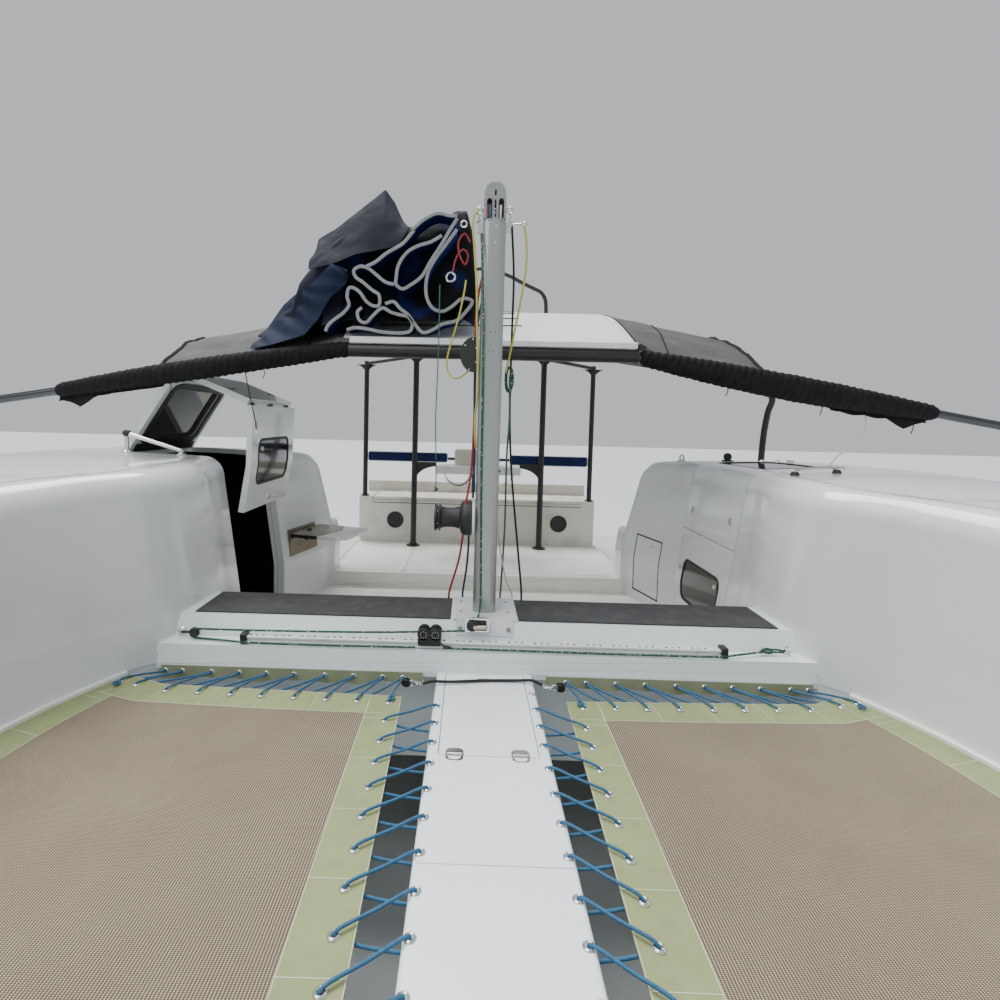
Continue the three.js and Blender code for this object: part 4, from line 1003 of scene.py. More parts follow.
def buildSpine():
    outline = roundedOutline(spine["half"], (spine["top"] - spine["bottom"]) / 2, 0.012, (0, 0.84), 6)
    body = skin([[(u, y, v) for u, v in outline]
                 for y in (spine["rear"], -1.1245, -1.1275, spine["front"])])
    half, front, rear = spine["lid"]
    recess = roundedPrism("z", half, (rear - front) / 2, 0.008, (0, (rear + front) / 2), 0.8805, 0.92)
    well = roundedPrism("z", 0.11, 0.225, 0.02, (0, -0.508), 0.792, 0.9)
    groove = box((-0.2, spine["seam"] - 0.0012, 0.8988), (0.2, spine["seam"] + 0.0012, 0.95))
    holes = [lathe([(0.0062, -0.03), (0.0062, 0.03)], (sign * nets["spineEyelet"], y, 0.9), sides=10)
             for sign, y in ((1, -0.395), (-1, -0.493))]
    body = cut(body, merged(recess, well), groove, *holes)
    place("spine_shown", body, brightWhite, bevel=0.0012, replaces=("spine",))
    lid = roundedPrism("z", half - 0.0022, (rear - front) / 2 - 0.0022, 0.006, (0, (rear + front) / 2),
                       0.8825, 0.9)
    drain = roundedPrism("z", 0.02, 0.006, 0.0058, spine["drain"], 0.89, 0.92)
    latchCuts = [roundedPrism("z", 0.0255, 0.0295, 0.016, (x, spine["latchY"] + 0.003), 0.896, 0.92)
                 for x in spine["latches"]]
    lid = cut(lid, drain, *latchCuts)
    place("spine_lid_shown", lid, brightWhite, "spine_lid", bevel=0.001, replaces=("spine_lid",))
    for x in spine["latches"]:
        centre = (x, spine["latchY"] + 0.003)
        plate = roundedPrism("z", 0.025, 0.029, 0.0155, centre, 0.8962, 0.9012)
        scoop = roundedPrism("z", 0.017, 0.013, 0.01, (x, centre[1] - 0.01), 0.8975, 0.905)
        bar = barPart((x - 0.021, centre[1], 0.9022), (x + 0.021, centre[1], 0.9022), 0.0028, 10)
        lip = roundedPrism("z", 0.016, 0.011, 0.009, (x, centre[1] + 0.0135), 0.9005, 0.9022)
        place(f"spine_latch_{'port' if x > 0 else 'starboard'}", [cut(plate, scoop), bar, lip], chrome,
              "spine_lid", bevel=0.0006)
    # dark plate set into the lid's drain slot: painted shade inside the slot
    drainShade = roundedPrism("z", 0.0195, 0.0055, 0.005, spine["drain"], 0.8915, 0.8925)
    place("spine_drain", drainShade, gasket, "spine_lid")


# Beam deck hardware: traveller track, line and pad-eyes
track = {"from": -0.898, "to": 0.881, "y": -0.206, "top": 0.999, "low": 0.975, "pitch": 0.098,
         "offset": 0.0242, "starboardEye": (-1.173, -0.166, 0.99), "portEye": (1.151, -0.17, 0.985)}


def flecked(name, colour, light):
    material = makeFinish(name, colour, 0.7, spread=0.3, scale=120, grain=0.8,
                          grainScale=700)
    tree = material.node_tree
    base = tree.nodes["Principled BSDF"].inputs["Base Color"]
    place = tree.nodes["Texture Coordinate"].outputs["Object"]
    marks = addNode(tree, "ShaderNodeTexVoronoi", {"Scale": 95, "Vector": place}).outputs["Distance"]
    limit = addNode(tree, "ShaderNodeMapRange", {"Value": marks, "From Min": 0.3, "From Max": 0.18})
    mix = addNode(tree, "ShaderNodeMix",
                  {0: limit.outputs["Result"], 6: base.links[0].from_socket, 7: (*light, 1)},
                  data_type="RGBA")
    tree.links.new(mix.outputs[2], base)
    return material


greenFlecked = flecked("greenFlecked", (0.018, 0.085, 0.05), (0.55, 0.6, 0.52))


def padEye(centre, axis, size=0.0165):
    centre, axis = Vector(centre), Vector(axis).normalized()
    disc = lathe([(0, 0), (size, 0), (size, 0.002), (size * 0.85, 0.004), (size * 0.5, 0.005),
                  (size * 0.42, 0.01), (0, 0.011)], centre, axis, 24)
    ring = torus(centre + axis * 0.016, axis.cross(Vector((0, 0, 1))), 0.009, 0.0026, 18)
    return joined(disc, ring)


def blockPart(centre, axis, radius=0.017, width=0.013):
    return lathe([(0, -width / 2), (radius * 0.9, -width / 2), (radius, -width * 0.35),
                  (radius, -width * 0.18), (radius * 0.72, -width * 0.12), (radius * 0.72, width * 0.12),
                  (radius, width * 0.18), (radius, width * 0.35), (radius * 0.9, width / 2),
                  (0, width / 2)], centre, axis, 22)


def buildTraveller():
    half = 0.0155
    section = [(-half, 0.0), (half, 0.0), (half, 0.007), (half - 0.006, 0.009), (half - 0.006, 0.014),
               (half, 0.016), (half, 0.022), (half - 0.002, 0.024), (-half + 0.002, 0.024), (-half, 0.022),
               (-half, 0.016), (-half + 0.006, 0.014), (-half + 0.006, 0.009), (-half, 0.007)]
    bar = skin([[(x, track["y"] + v, track["low"] + w) for v, w in section]
                for x in (track["from"], track["to"])])
    place("traveller_track_shown", bar, plateWhite, bevel=0.0006, replaces=("traveller_track",))
    holes, screws = [], []
    x = track["from"] + 0.035
    while x < track["to"] - 0.03:
        screws.append(screwPart((x, track["y"], track["top"] - 0.0004), 0.0058))
        # dark discs on the track top beside each screw: painted shade inside the holes
        for shift in (-track["offset"], track["offset"]):
            holes.append(cylinder(0.0052, 0, 0.0005, (x + shift, track["y"], track["top"] - 0.0001),
                                  sides=12))
        x += track["pitch"]
    place("track_screws", screws, castAlloy)
    place("track_holes", holes, gasket)
    caps = [roundedPrism("x", 0.022, 0.019, 0.006, (track["y"] - 0.002, 0.991), x - 0.011, x + 0.011)
            for x in (track["from"] - 0.012, track["to"] + 0.012)]
    place("track_ends", caps, blackPlastic, bevel=0.002)
    middle = -0.208
    car = roundedPrism("y", 0.043, 0.015, 0.007, (middle, 1.001), track["y"] - 0.026, track["y"] + 0.026)
    slot = box((middle - 0.06, track["y"] - 0.0175, 0.97), (middle + 0.06, track["y"] + 0.0175, 1.0015))
    wheels, balls = [], []
    for x in (middle - 0.022, middle + 0.022):
        for y in (track["y"] - 0.019, track["y"] + 0.019):
            wheels.append(blockPart((x, y, 1.029), (0, 1, 0), 0.0235, 0.014))
        wheels.append(cylinder(0.006, -0.028, 0.028, (x, track["y"], 1.029), (0, 1, 0), 12))
        for angle in turns(8):
            spot = (x + 0.012 * math.cos(angle), track["y"] - 0.0262, 1.029 + 0.012 * math.sin(angle))
            balls.append(lathe([(0, -0.002), (0.0018, -0.001), (0.0018, 0.001), (0, 0.002)], spot,
                               (0, 1, 0), 8))
    lever = tube([(middle + 0.038, track["y"] - 0.022, 0.998), (middle + 0.055, track["y"] - 0.034, 0.992),
                  (middle + 0.082, track["y"] - 0.038, 0.99)], 0.0042, 10)
    place("traveller_car_shown", cut(car, slot), blackPlastic, "traveller_car", bevel=0.002,
          replaces=("traveller_car",))
    place("traveller_wheels", [*wheels, lever], blackPlastic, "traveller_car")
    place("traveller_balls", balls, chrome, "traveller_car")
    eyes = [padEye(track["starboardEye"], (0, -1, 0.25)), padEye(track["portEye"], (0, -1, 0.25))]
    place("beam_pad_eyes", eyes, chrome)
    block = blockPart((-1.112, -0.19, 0.995), (0.2, 1, 0), 0.019, 0.017)
    strap = tube([(-1.165, -0.184, 0.992), (-1.14, -0.187, 0.995), (-1.118, -0.19, 0.996)], 0.005, 8)
    place("beam_block", [block, strap], blackPlastic)
    y = track["y"] - 0.026
    lines = [tube([(-1.108, -0.196, 0.977), (-1.0, -0.214, 0.979), (track["from"], y, 0.98),
                   (-0.6, y, 0.978), (-0.26, y, 0.981)], 0.0042, 8, 0.03),
             tube([(-0.155, y - 0.002, 0.982), (0.2, y, 0.979), (0.6, y, 0.978), (track["to"], y, 0.981),
                   (0.95, -0.218, 0.984), (1.045, -0.196, 0.987), (1.13, -0.19, 0.987)], 0.0042, 8, 0.03),
             tube([(1.045, -0.19, 0.992), (1.09, -0.186, 0.995), (1.137, -0.188, 0.992)], 0.0036, 8, 0.01),
             tube([(-1.104, -0.196, 1.012), (-0.8, -0.196, 1.013), (-0.4, -0.196, 1.02),
                   (-0.075, -0.194, 1.034)], 0.0042, 8, 0.03)]
    knot = [Vector((1.062 + 0.022 * math.cos(k * 0.9), -0.192 + 0.006 * math.sin(k * 1.7),
                    0.99 + 0.008 * math.sin(k * 0.9))) for k in range(15)]
    lines.append(tube(knot, 0.0036, 8, 0.005))
    place("traveller_line", lines, greenFlecked)


# Black strap over the spine, from shackles at both sides
def buildSpineStrap():
    strap = tube([(-0.225, -0.345, 0.898), (-0.19, -0.35, 0.91), (-0.12, -0.345, 0.909),
                  (0.0, -0.322, 0.906), (0.12, -0.318, 0.908), (0.172, -0.322, 0.911), (0.2, -0.34, 0.905)],
                 0.0052, 10)
    place("spine_strap", strap, ropeBlack)
    shackles, blocks = [], []
    for x, y in ((-0.235, -0.345), (0.222, -0.348)):
        sign = 1 if x > 0 else -1
        shackles.append(torus((x, y, 0.9), (0.3, 0.2, 1), 0.013, 0.0032, 18))
        shackles.append(barPart((x - 0.014 * sign, y - 0.012, 0.9), (x - 0.014 * sign, y + 0.014, 0.9),
                                0.0038, 8))
        shackles.append(torus((x + 0.024 * sign, y + 0.006, 0.897), (0, 1, 0.2), 0.01, 0.003, 18))
        blocks.append(blockPart((x + 0.045 * sign, y + 0.01, 0.897), (0.2, 1, 0.3), 0.017, 0.015))
    place("spine_shackles", shackles, chrome)
    place("spine_blocks", blocks, blackPlastic)


def buildBeam():
    dress("mast_beam", brightWhite, 0.006)
    dress("nonskid_port", nonskid, 0.0008)
    dress("nonskid_starboard", nonskid, 0.0008)
    placeBoth("nonskid_edge_{}", box((0.134, -0.1232, 1.0502), (1.141, -0.1192, 1.0544)), nonskidEdge)


buildBeam()
buildSpine()
buildTraveller()
buildSpineStrap()
print("beam, spine and traveller done", flush=True)

# Mast: half widths and corner of its section, ends, and the winch's height
mast = {"half": (0.046, 0.06), "corner": 0.027, "low": 1.0585, "top": 2.6178, "winch": 1.432}


def buildMast():
    outline = roundedOutline(*mast["half"], mast["corner"], corner=8)
    body = prism("z", outline, mast["low"], mast["top"])
    groove = merged(roundedPrism("z", 0.0075, 0.006, 0.005, (0, 0.05), 1.35, 2.7),
                    box((-0.003, 0.045, 1.35), (0.003, 0.07, 2.7)))
    bore = roundedPrism("z", 0.04, 0.04, 0.022, (0, -0.012), 2.3, 2.7, 8)
    body = cut(body, bore, groove)
    place("mast_shown", body, alloy, sharp=28, replaces=("mast",))
    rivets = [lathe([(0, 0), (0.0024, 0), (0.002, 0.0008), (0, 0.001)], (x, -0.0601, z), (0, -1, 0), 10)
              for x, z in ((-0.004, 2.18), (0.013, 2.181), (-0.007, 2.106), (0.01, 2.107))]
    place("mast_rivets", rivets, gasket)
    screws = [screwPart((0.006, -0.0601, z), 0.0052, (0, -1, 0)) for z in (2.59, 2.526)]
    screws += [screwPart((sign * 0.0461, y, z), 0.0045, (sign, 0, 0)) for sign in (-1, 1)
               for y, z in ((-0.01, 2.58), (0.02, 2.54), (0.0, 1.12))]
    place("mast_screws", screws, steel)


mastHead = {"slots": (-0.0215, 0.0245), "pins": (-0.034, 0.034), "pinZ": 2.664}


def buildMastHead():
    arch = [(-0.044, 2.6182), (0.044, 2.6182), (0.044, 2.668), (0.042, 2.718), (0.033, 2.744),
            (0.018, 2.7555), (0.0, 2.757), (-0.018, 2.7555), (-0.033, 2.744), (-0.042, 2.718),
            (-0.044, 2.668)]
    body = prism("y", arch, -0.06, 0.06)
    slots = [roundedPrism("y", 0.0105, 0.042, 0.01, (x, 2.653), -0.1, 0.1) for x in mastHead["slots"]]
    slots.append(roundedPrism("y", 0.0036, 0.036, 0.003, (0.0015, 2.655), -0.1, 0.1))
    slots.append(roundedPrism("y", 0.0034, 0.0115, 0.003, (0.0015, 2.717), -0.1, 0.1))
    body = cut(body, *slots)
    place("mast_head_shown", body, castAlloy, bevel=0.003, replaces=("mast_head",))
    rims = []
    for x in mastHead["slots"]:
        outline = [(u, -0.0604, v) for u, v in roundedOutline(0.0118, 0.042, 0.011, (x, 2.6545), 6)]
        rims.append(tube(outline + outline[:1], 0.0022, 8, smooth=False))
    place("head_rims", rims, castAlloy)
    sheaves = [blockPart((x, y, mastHead["pinZ"]), (1, 0, 0), 0.026, 0.017) for x in mastHead["slots"]
               for y in mastHead["pins"]]
    place("head_sheaves", sheaves, blackPlastic)
    place("head_pin", [cylinder(0.005, -0.047, 0.047, (0, y, mastHead["pinZ"]), (1, 0, 0), 12)
                       for y in mastHead["pins"]], steel)
    tails = [("head_line_blue", laceBlue, -0.0185, 0.0042), ("head_line_red", ropeRed, -0.0275, 0.0032),
             ("head_line_grey", ropeWhite, 0.0225, 0.004)]
    for name, colour, x, radius in tails:
        place(name, tube([(x, -0.062, 2.667), (x, -0.0645, 2.64), (x, -0.052, 2.61), (x, -0.03, 2.57)],
                         radius, 8), colour)
    fittings = []
    for sign, x in ((-1, -0.058), (1, 0.062)):
        fittings.append(torus((x, 0.0, 2.672), (0.2, 1, 0.3), 0.011, 0.003, 18))
        fittings.append(torus((x + 0.004 * sign, 0.0, 2.65), (1, 0.3, 0), 0.01, 0.003, 18))
        fittings.append(cylinder(0.0045, -0.012, 0.012, (x, 0.0, 2.632), (0, 1, 0), 12))
        fittings.append(tube([(0.045 * sign, 0, 2.607), (x + 0.006 * sign, 0, 2.612),
                              (x + 0.01 * sign, 0, 2.63)], 0.0045, 8))
        fittings.append(roundedPrism("y", 0.012, 0.021, 0.006, (x - 0.006 * sign, 2.6), -0.005, 0.005))
    fittings.append(tube([(0.046, -0.004, 2.606), (0.08, -0.004, 2.616), (0.112, -0.004, 2.618)], 0.0038,
                         10))
    fittings.append(torus((0.121, -0.004, 2.6185), (0, 0.5, 1), 0.0095, 0.0028, 18))
    place("head_fittings", fittings, chrome)


def buildMastFoot():
    dress("mast_step", plateWhite, 0.0018)
    screws = [screwPart((sign * 0.0945, y, 1.0581), 0.0062) for sign in (-1, 1) for y in (-0.05, 0.073)]
    screws += [screwPart((x, -0.1605, 1.03), 0.0052, (0, -1, 0.1), 0.0092) for x in (-0.094, 0.092)]
    place("foot_screws", screws, castAlloy)
    frame = cut(roundedPrism("y", 0.046, 0.0265, 0.008, (-0.03, 1.05), -0.177, -0.163),
                roundedPrism("y", 0.0395, 0.0205, 0.006, (-0.03, 1.05), -0.2, -0.15))
    place("foot_frame", frame, chrome, bevel=0.0015)
    cheek = joined(blockPart((-0.048, -0.18, 1.049), (0, 1, 0), 0.021, 0.02),
                   roundedPrism("y", 0.034, 0.018, 0.006, (-0.028, 1.049), -0.176, -0.1615))
    place("foot_block", cheek, blackPlastic, bevel=0.001)
    place("foot_pin", barPart((-0.043, -0.187, 1.045), (0.004, -0.187, 1.046), 0.0075, 12), creamPlastic)


def buildWinch():
    start, axis = -mast["half"][0], (-1, 0, 0)
    centre = (start, 0, mast["winch"])
    pad = [(0, 0.0004), (0.07, 0.0004), (0.0735, 0.004), (0.0735, 0.0105), (0.071, 0.0125), (0, 0.0125)]
    place("winch_pad", lathe(pad, centre, axis, 48), plateWhite, sharp=40)
    base = [(0, 0.0128), (0.067, 0.0128), (0.0715, 0.016), (0.0722, 0.03), (0.0718, 0.042), (0.068, 0.052),
            (0.06, 0.058), (0.048, 0.0618), (0, 0.0618)]
    place("winch_base_shown", lathe(base, centre, axis, 48), blackPlastic, sharp=40,
          replaces=("winch_base",))
    drum = [(0, 0.0632), (0.047, 0.0632), (0.0445, 0.068), (0.0405, 0.082), (0.039, 0.105), (0.0405, 0.126),
            (0.044, 0.137), (0.0525, 0.1425), (0.0555, 0.1435), (0.0558, 0.1475), (0.05, 0.149),
            (0.0455, 0.15), (0.0455, 0.1545), (0.05, 0.1555), (0.0556, 0.1565), (0.0558, 0.1605),
            (0.053, 0.165), (0.03, 0.1668), (0.0145, 0.1668), (0.0138, 0.161), (0, 0.16)]
    ribs = []
    for turn in turns(18):
        out = Vector((0, math.cos(turn), math.sin(turn)))
        path = [Vector(centre) + Vector((-height, 0, 0)) + out * (radius - 0.0004)
                for radius, height in drum[2:7]]
        ribs.append(tube(path, 0.0011, 6, 0.01))
    place("winch_drum_shown", [lathe(drum, centre, axis, 48), *ribs], blackPlastic, "winch_drum", sharp=35,
          replaces=("winch_drum",))
    pin = [(0, -0.0015), (0.004, -0.001), (0.004, 0.001), (0, 0.0015)]
    teeth = [lathe(pin, (start - 0.152, 0.049 * math.cos(turn + 0.4),
                         mast["winch"] + 0.049 * math.sin(turn + 0.4)), axis, 10) for turn in turns(6)]
    place("winch_pins", teeth, chrome, "winch_drum")


# Dark oval plate with a flat inner edge beside the mast
def buildOvalPlate():
    outline = [(-0.051, 2.036), (-0.051, 2.155), (-0.058, 2.166)]
    for k in range(1, 12):
        angle = math.radians(90 + 180 * k / 12)
        outline.append((-0.066 + 0.057 * math.cos(angle), 2.0955 + 0.0715 * math.sin(angle)))
    outline.append((-0.058, 2.025))
    place("oval_plate", prism("y", outline, -0.03, -0.012), blackPlastic, bevel=0.003)
    place("oval_plate_bracket", box((-0.052, -0.028, 2.03), (-0.0455, 0.004, 2.16)), plateWhite,
          bevel=0.001)
    screws = [screwPart((x, -0.0301, z), 0.0034, (0, -1, 0))
              for x, z in ((-0.06, 2.12), (-0.06, 2.065), (-0.072, 2.155), (-0.086, 2.035), (-0.103, 2.13))]
    place("oval_plate_screws", screws, steel)


# Rope routes round the mast: finish, radius and the places that each passes
rigging = {
    "halyard_green": (greenFlecked, 0.0045, [(-0.05, -0.05, 2.56), (-0.045, -0.072, 2.46),
        (-0.034, -0.076, 2.24), (-0.031, -0.072, 2.0), (-0.027, -0.07, 1.65), (-0.018, -0.072, 1.22),
        (-0.018, -0.1, 1.095), (-0.03, -0.172, 1.068)]),
    "line_yellow_starboard": (ropeYellow, 0.0042, [(-0.058, -0.01, 2.668), (-0.082, -0.03, 2.635),
        (-0.074, -0.04, 2.49), (-0.063, -0.05, 2.35), (-0.058, -0.045, 2.2), (-0.054, -0.045, 2.11),
        (-0.05, -0.045, 1.94), (-0.057, -0.035, 1.83), (-0.054, -0.035, 1.76), (-0.05, -0.02, 1.72)]),
    "halyard_red": (ropeRed, 0.0046, [(-0.0275, 0.0, 2.46), (-0.052, 0.002, 2.36), (-0.064, 0.006, 2.19),
        (-0.06, 0.006, 2.0), (-0.061, 0.0, 1.77), (-0.068, -0.004, 1.61), (-0.084, -0.03, 1.505),
        (-0.092, -0.045, 1.468)]),
    "halyard_red_tail": (ropeRed, 0.0046, [(-0.094, -0.03, 1.365), (-0.097, 0.02, 1.33),
        (-0.11, 0.05, 1.24), (-0.145, 0.1, 1.1), (-0.15, 0.118, 1.064), (-0.146, 0.15, 1.0),
        (-0.13, 0.17, 0.9)]),
    "halyard_blue": (ropeNavy, 0.0046, [(-0.0185, 0.01, 2.4), (-0.054, 0.012, 2.24), (-0.062, 0.004, 2.01),
        (-0.058, 0.0, 1.83), (-0.054, 0.0, 1.73), (-0.0565, -0.004, 1.61), (-0.0565, -0.014, 1.515)]),
    "halyard_blue_tail": (ropeNavy, 0.0046, [(-0.07, 0.02, 1.362), (-0.07, 0.06, 1.3), (-0.076, 0.08, 1.2),
        (-0.088, 0.11, 1.1), (-0.09, 0.128, 1.064), (-0.087, 0.15, 1.0), (-0.08, 0.17, 0.9)]),
    "line_yellow_port": (ropeYellow, 0.0042, [(0.121, -0.004, 2.612), (0.131, 0.0, 2.55),
        (0.133, 0.0, 2.45), (0.118, 0.01, 2.33), (0.096, 0.02, 2.2), (0.078, 0.04, 2.09),
        (0.066, 0.045, 2.03)]),
    "stay_black": (ropeBlack, 0.0046, [(0.072, 0.02, 2.63), (0.088, 0.05, 2.43), (0.088, 0.06, 2.2),
        (0.091, 0.08, 1.84), (0.105, 0.09, 1.62), (0.138, 0.11, 1.33), (0.166, 0.128, 1.09),
        (0.168, 0.142, 1.05), (0.162, 0.16, 0.95)]),
    "line_dark_green": (ropeGreen, 0.0042, [(0.081, 0.03, 2.02), (0.087, 0.05, 1.84), (0.082, 0.07, 1.69),
        (0.083, 0.09, 1.38), (0.076, 0.125, 1.11), (0.074, 0.142, 1.05), (0.07, 0.16, 0.96)]),
    "line_grey": (ropeWhite, 0.0028, [(0.047, 0.03, 1.46), (0.052, 0.05, 1.38), (0.073, 0.08, 1.25),
        (0.098, 0.11, 1.14), (0.125, 0.132, 1.075), (0.128, 0.142, 1.045), (0.124, 0.16, 0.98)]),
}


def buildRigging():
    for name, (finish, radius, route) in rigging.items():
        place(name, tube(route, radius, 10, 0.012), finish)
    coil = []
    for k in range(66):
        angle = k * math.tau / 16
        coil.append((0.0815 + 0.0135 * math.cos(angle) + 0.003 * math.sin(k * 0.5),
                     0.05 + 0.004 * math.sin(k * 0.37), 2.005 + 0.052 * math.sin(angle)))
    place("coil_green", tube(coil, 0.004, 8, 0.01), greenFlecked)
    wrap = barPart((-0.0565, -0.006, 1.612), (-0.0565, -0.01, 1.54), 0.0078, 12)
    place("halyard_whipping", wrap, ropeNavy)


buildMast()
buildMastHead()
buildMastFoot()
buildWinch()
buildOvalPlate()
buildRigging()
print("mast done", flush=True)

# Hatch leaf and lower door, drawn closed at the port side
leafPlace = {"port": Matrix.Identity(4)}
openLeaf = (Matrix.Translation((-hinge["x"], 0, hinge["z"]))
            @ Matrix.Rotation(math.radians(-hinge["open"]), 4, "Y")
            @ Matrix.Translation((hinge["x"], 0, -hinge["z"])))
doorPin = (-1.19589, 0.0, 1.88352)
hungDoor = (Matrix.Translation(doorPin) @ Matrix.Rotation(math.radians(hinge["hang"]), 4, "Y")
            @ Matrix.Translation([-value for value in doorPin]) @ openLeaf)
leafPlace["starboard"] = openLeaf
doorPlace = {"port": Matrix.Identity(4), "starboard": hungDoor}


def layer(outer, inner, start=0.4, end=1.3, bottom=0.6):
    return cut(deckLoft(outer, start, end, bottom),
               deckLoft(inner, start - 0.05, end + 0.05, bottom - 0.01))


def insetBy(low, high, inset):
    return [value + inset for value in low], [value - inset for value in high]


def frameTool(axis, low, high, grow, inset, radius, start, end):
    outer = windowPrism(axis, *insetBy(low, high, -grow), radius + grow, start, end)
    inner = windowPrism(axis, *insetBy(low, high, inset), max(0.004, radius - inset), start - 0.1,
                        end + 0.1)
    return cut(outer, inner)


def wallX(z, y=0.8):
    return columnAt(stations, 1, y) + leanAt(z)


def leafParts():
    low, high = windows["roof"]
    glass = common(layer(-0.003, -0.011), windowPrism("z", *insetBy(low, high, 0.003), 0.047, 1.5, 1.8))
    outerSeal = common(layer(0.0012, -0.004), frameTool("z", low, high, 0.007, 0.004, 0.05, 1.5, 1.8))
    innerSeal = common(layer(-0.0285, -0.036), frameTool("z", low, high, 0.02, 0.016, 0.05, 1.5, 1.8))
    band = common(layer(-0.0285, -0.034), box((1.772, 0.535, 1.5), (1.818, 1.105, 1.7)))
    latches = []
    for y, z in ((1.067, 1.317), (0.597, 1.334)):
        oval = [(wallX(z) - 0.0012, y + 0.0165 * math.cos(k * math.tau / 20),
                 z + 0.026 * math.sin(k * math.tau / 20)) for k in range(20)]
        latches.append(tube(oval + oval[:1], 0.0026, 8, smooth=False))
        latches.append(roundedPrism("x", 0.0125, 0.021, 0.012, (y, z), wallX(z) - 0.0016, wallX(z) + 0.004))
    return [("shell", leafShape, gelcoat, 0), ("glass", glass, tinted, 0), ("seal", outerSeal, gasket, 0),
            ("lining_seal", [innerSeal, band], gasket, 0), ("latches", latches, chrome, 0)]


def doorParts():
    low, high = windows["door"]
    slab = common(layer(0, -0.03),
                  box((1.1, door["start"] + door["gap"], 0.66), (1.4, door["end"] - door["gap"], 1.202)))
    slab = cut(slab, windowPrism("x", low, high, 0.045, 1.1, 1.4))
    glass = common(layer(-0.002, -0.009), windowPrism("x", *insetBy(low, high, 0.003), 0.042, 1.1, 1.4))
    seal = common(layer(0.0015, -0.006), frameTool("x", low, high, 0.009, 0.006, 0.045, 1.1, 1.4))
    inner = common(layer(-0.0285, -0.034), frameTool("x", low, high, 0.014, 0.01, 0.045, 1.1, 1.4))
    cap = common(layer(0.0022, -0.0318),
                 box((1.1, door["start"] + 0.008, 1.172), (1.4, door["end"] - 0.008, 1.2045)))
    knobs = [lathe([(0, 0), (0.012, 0), (0.0135, 0.003), (0.0125, 0.01), (0.008, 0.014), (0, 0.0148)],
                   (wallX(z), y, z), (-1, 0, 0.14), 20) for y, z in ((1.086, 0.971), (0.618, 0.985))]
    handle = [lathe([(0, 0), (0.017, 0), (0.017, 0.003), (0.01, 0.006), (0.009, 0.017), (0, 0.018)],
                    (wallX(0.705), 0.81, 0.705), (-1, 0, 0), 22),
              torus((wallX(0.705) - 0.001, 0.81, 0.705), (1, 0, 0), 0.021, 0.0022, 24),
              tube([(wallX(0.7) - 0.013, 0.81, 0.705), (wallX(0.7) - 0.018, 0.84, 0.703),
                    (wallX(0.7) - 0.018, 0.905, 0.699)], lambda share: 0.0056 - 0.0018 * share, 10)]
    return [("shell", slab, gelcoat, 0.0015), ("glass", glass, blackGlass, 0),
            ("seal", [seal, inner], gasket, 0), ("cap", cap, plateWhite, 0),
            ("knobs", knobs, creamPlastic, 0), ("handle", handle, chrome, 0)]


def buildHatches():
    for kind, parts, spots in (("hatch", leafParts(), leafPlace), ("door", doorParts(), doorPlace)):
        for name, part, finish, bevel in parts:
            for side, sign in bothSides:
                gone = {"shell": (f"{kind}_{side}",), "glass": (f"{kind}_glass_{side}",)}.get(name, ())
                place(f"{kind}_{name}_{side}", moved(mirror(part, sign), spots[side]), finish,
                      f"{kind}_{side}", bevel=bevel, replaces=gone)
    pins = [Vector((1.29489, y, 1.205)) for y in door["hinges"]]
    knuckles = [cylinder(0.0075, -0.022, 0.022, pin, (0, 1, 0), 16) for pin in pins]
    straps = [box((pin.x - 0.012, y - 0.018, 1.2035), (pin.x + 0.006, y + 0.018, 1.226))
              for pin, y in zip(pins, door["hinges"])]
    roofHinges = [cylinder(0.007, -0.03, 0.03, (hinge["x"], y, hinge["z"] + 0.003), (0, 1, 0), 16)
                  for y in (0.6, 1.04)]
    for side, sign in bothSides:
        for name, part, finish in (("door_hinges", knuckles + straps, blackPlastic),
                                   ("roof_hinges", roofHinges, steel)):
            place(f"{name}_{side}", moved(mirror(part, sign), leafPlace[side]), finish, f"hatch_{side}")


# Channels in the jambs of each companionway and the seal on its sill
def buildJambs():
    strips = []
    x = columnAt(stations, 1, 1.15)
    for start, end, depth in ((0, 0.018, 0.0032), (0.02, 0.04, 0.0022), (0.042, 0.066, 0.0032)):
        rings = []
        for z in (0.655, 0.9, 1.2, 1.4):
            near, far = x + leanAt(z) + start, x + leanAt(z) + end
            rings.append([(near, 1.1456, z), (far, 1.1456, z), (far, 1.1446 - depth, z),
                          (near, 1.1446 - depth, z)])
        strips.append(skin(rings))
    placeBoth("jamb_{}", strips, gelcoat, sharp=30, bevel=0.001)
    seal = [(wallX(0.648, y) + 0.012, y, 0.6535) for y in (0.5, 0.8, 1.14)]
    placeBoth("sill_seal_{}", tube(seal, 0.005, 8, smooth=False), gasket)


def buildLocker():
    half, low, high = locker["width"] / 2, locker["low"], locker["high"]

    def doorBox(inset, start=-0.09, end=0.12):
        return box((start, -half + inset, low + inset), (end, half - inset, high - inset))

    slab = common(layer(0, -0.02, 1.1, 1.8), moved(doorBox(0.0105), lockerFrame))
    place("locker_door_shown", slab, gelcoat, "locker_door", bevel=0.0012, replaces=("locker_door",))
    ring = moved(cut(doorBox(0.0002), doorBox(0.0101, -0.2, 0.2)), lockerFrame)
    place("locker_seal", common(layer(-0.0005, -0.014, 1.1, 1.8), ring), gasket)
    spot = lockerFrame @ Vector((-0.0015, -0.03, 1.008)) + Vector((leanAt(1.0), 0, 0))
    profile = [(0, -0.004), (0.0105, -0.004), (0.0105, 0.001), (0.008, 0.0028), (0.003, 0.003), (0.003, 0),
               (0, 0)]
    lock = lathe(profile, spot, lockerFrame.to_3x3() @ Vector((-1, 0, 0)), 20)
    place("locker_lock", lock, steel, "locker_door")


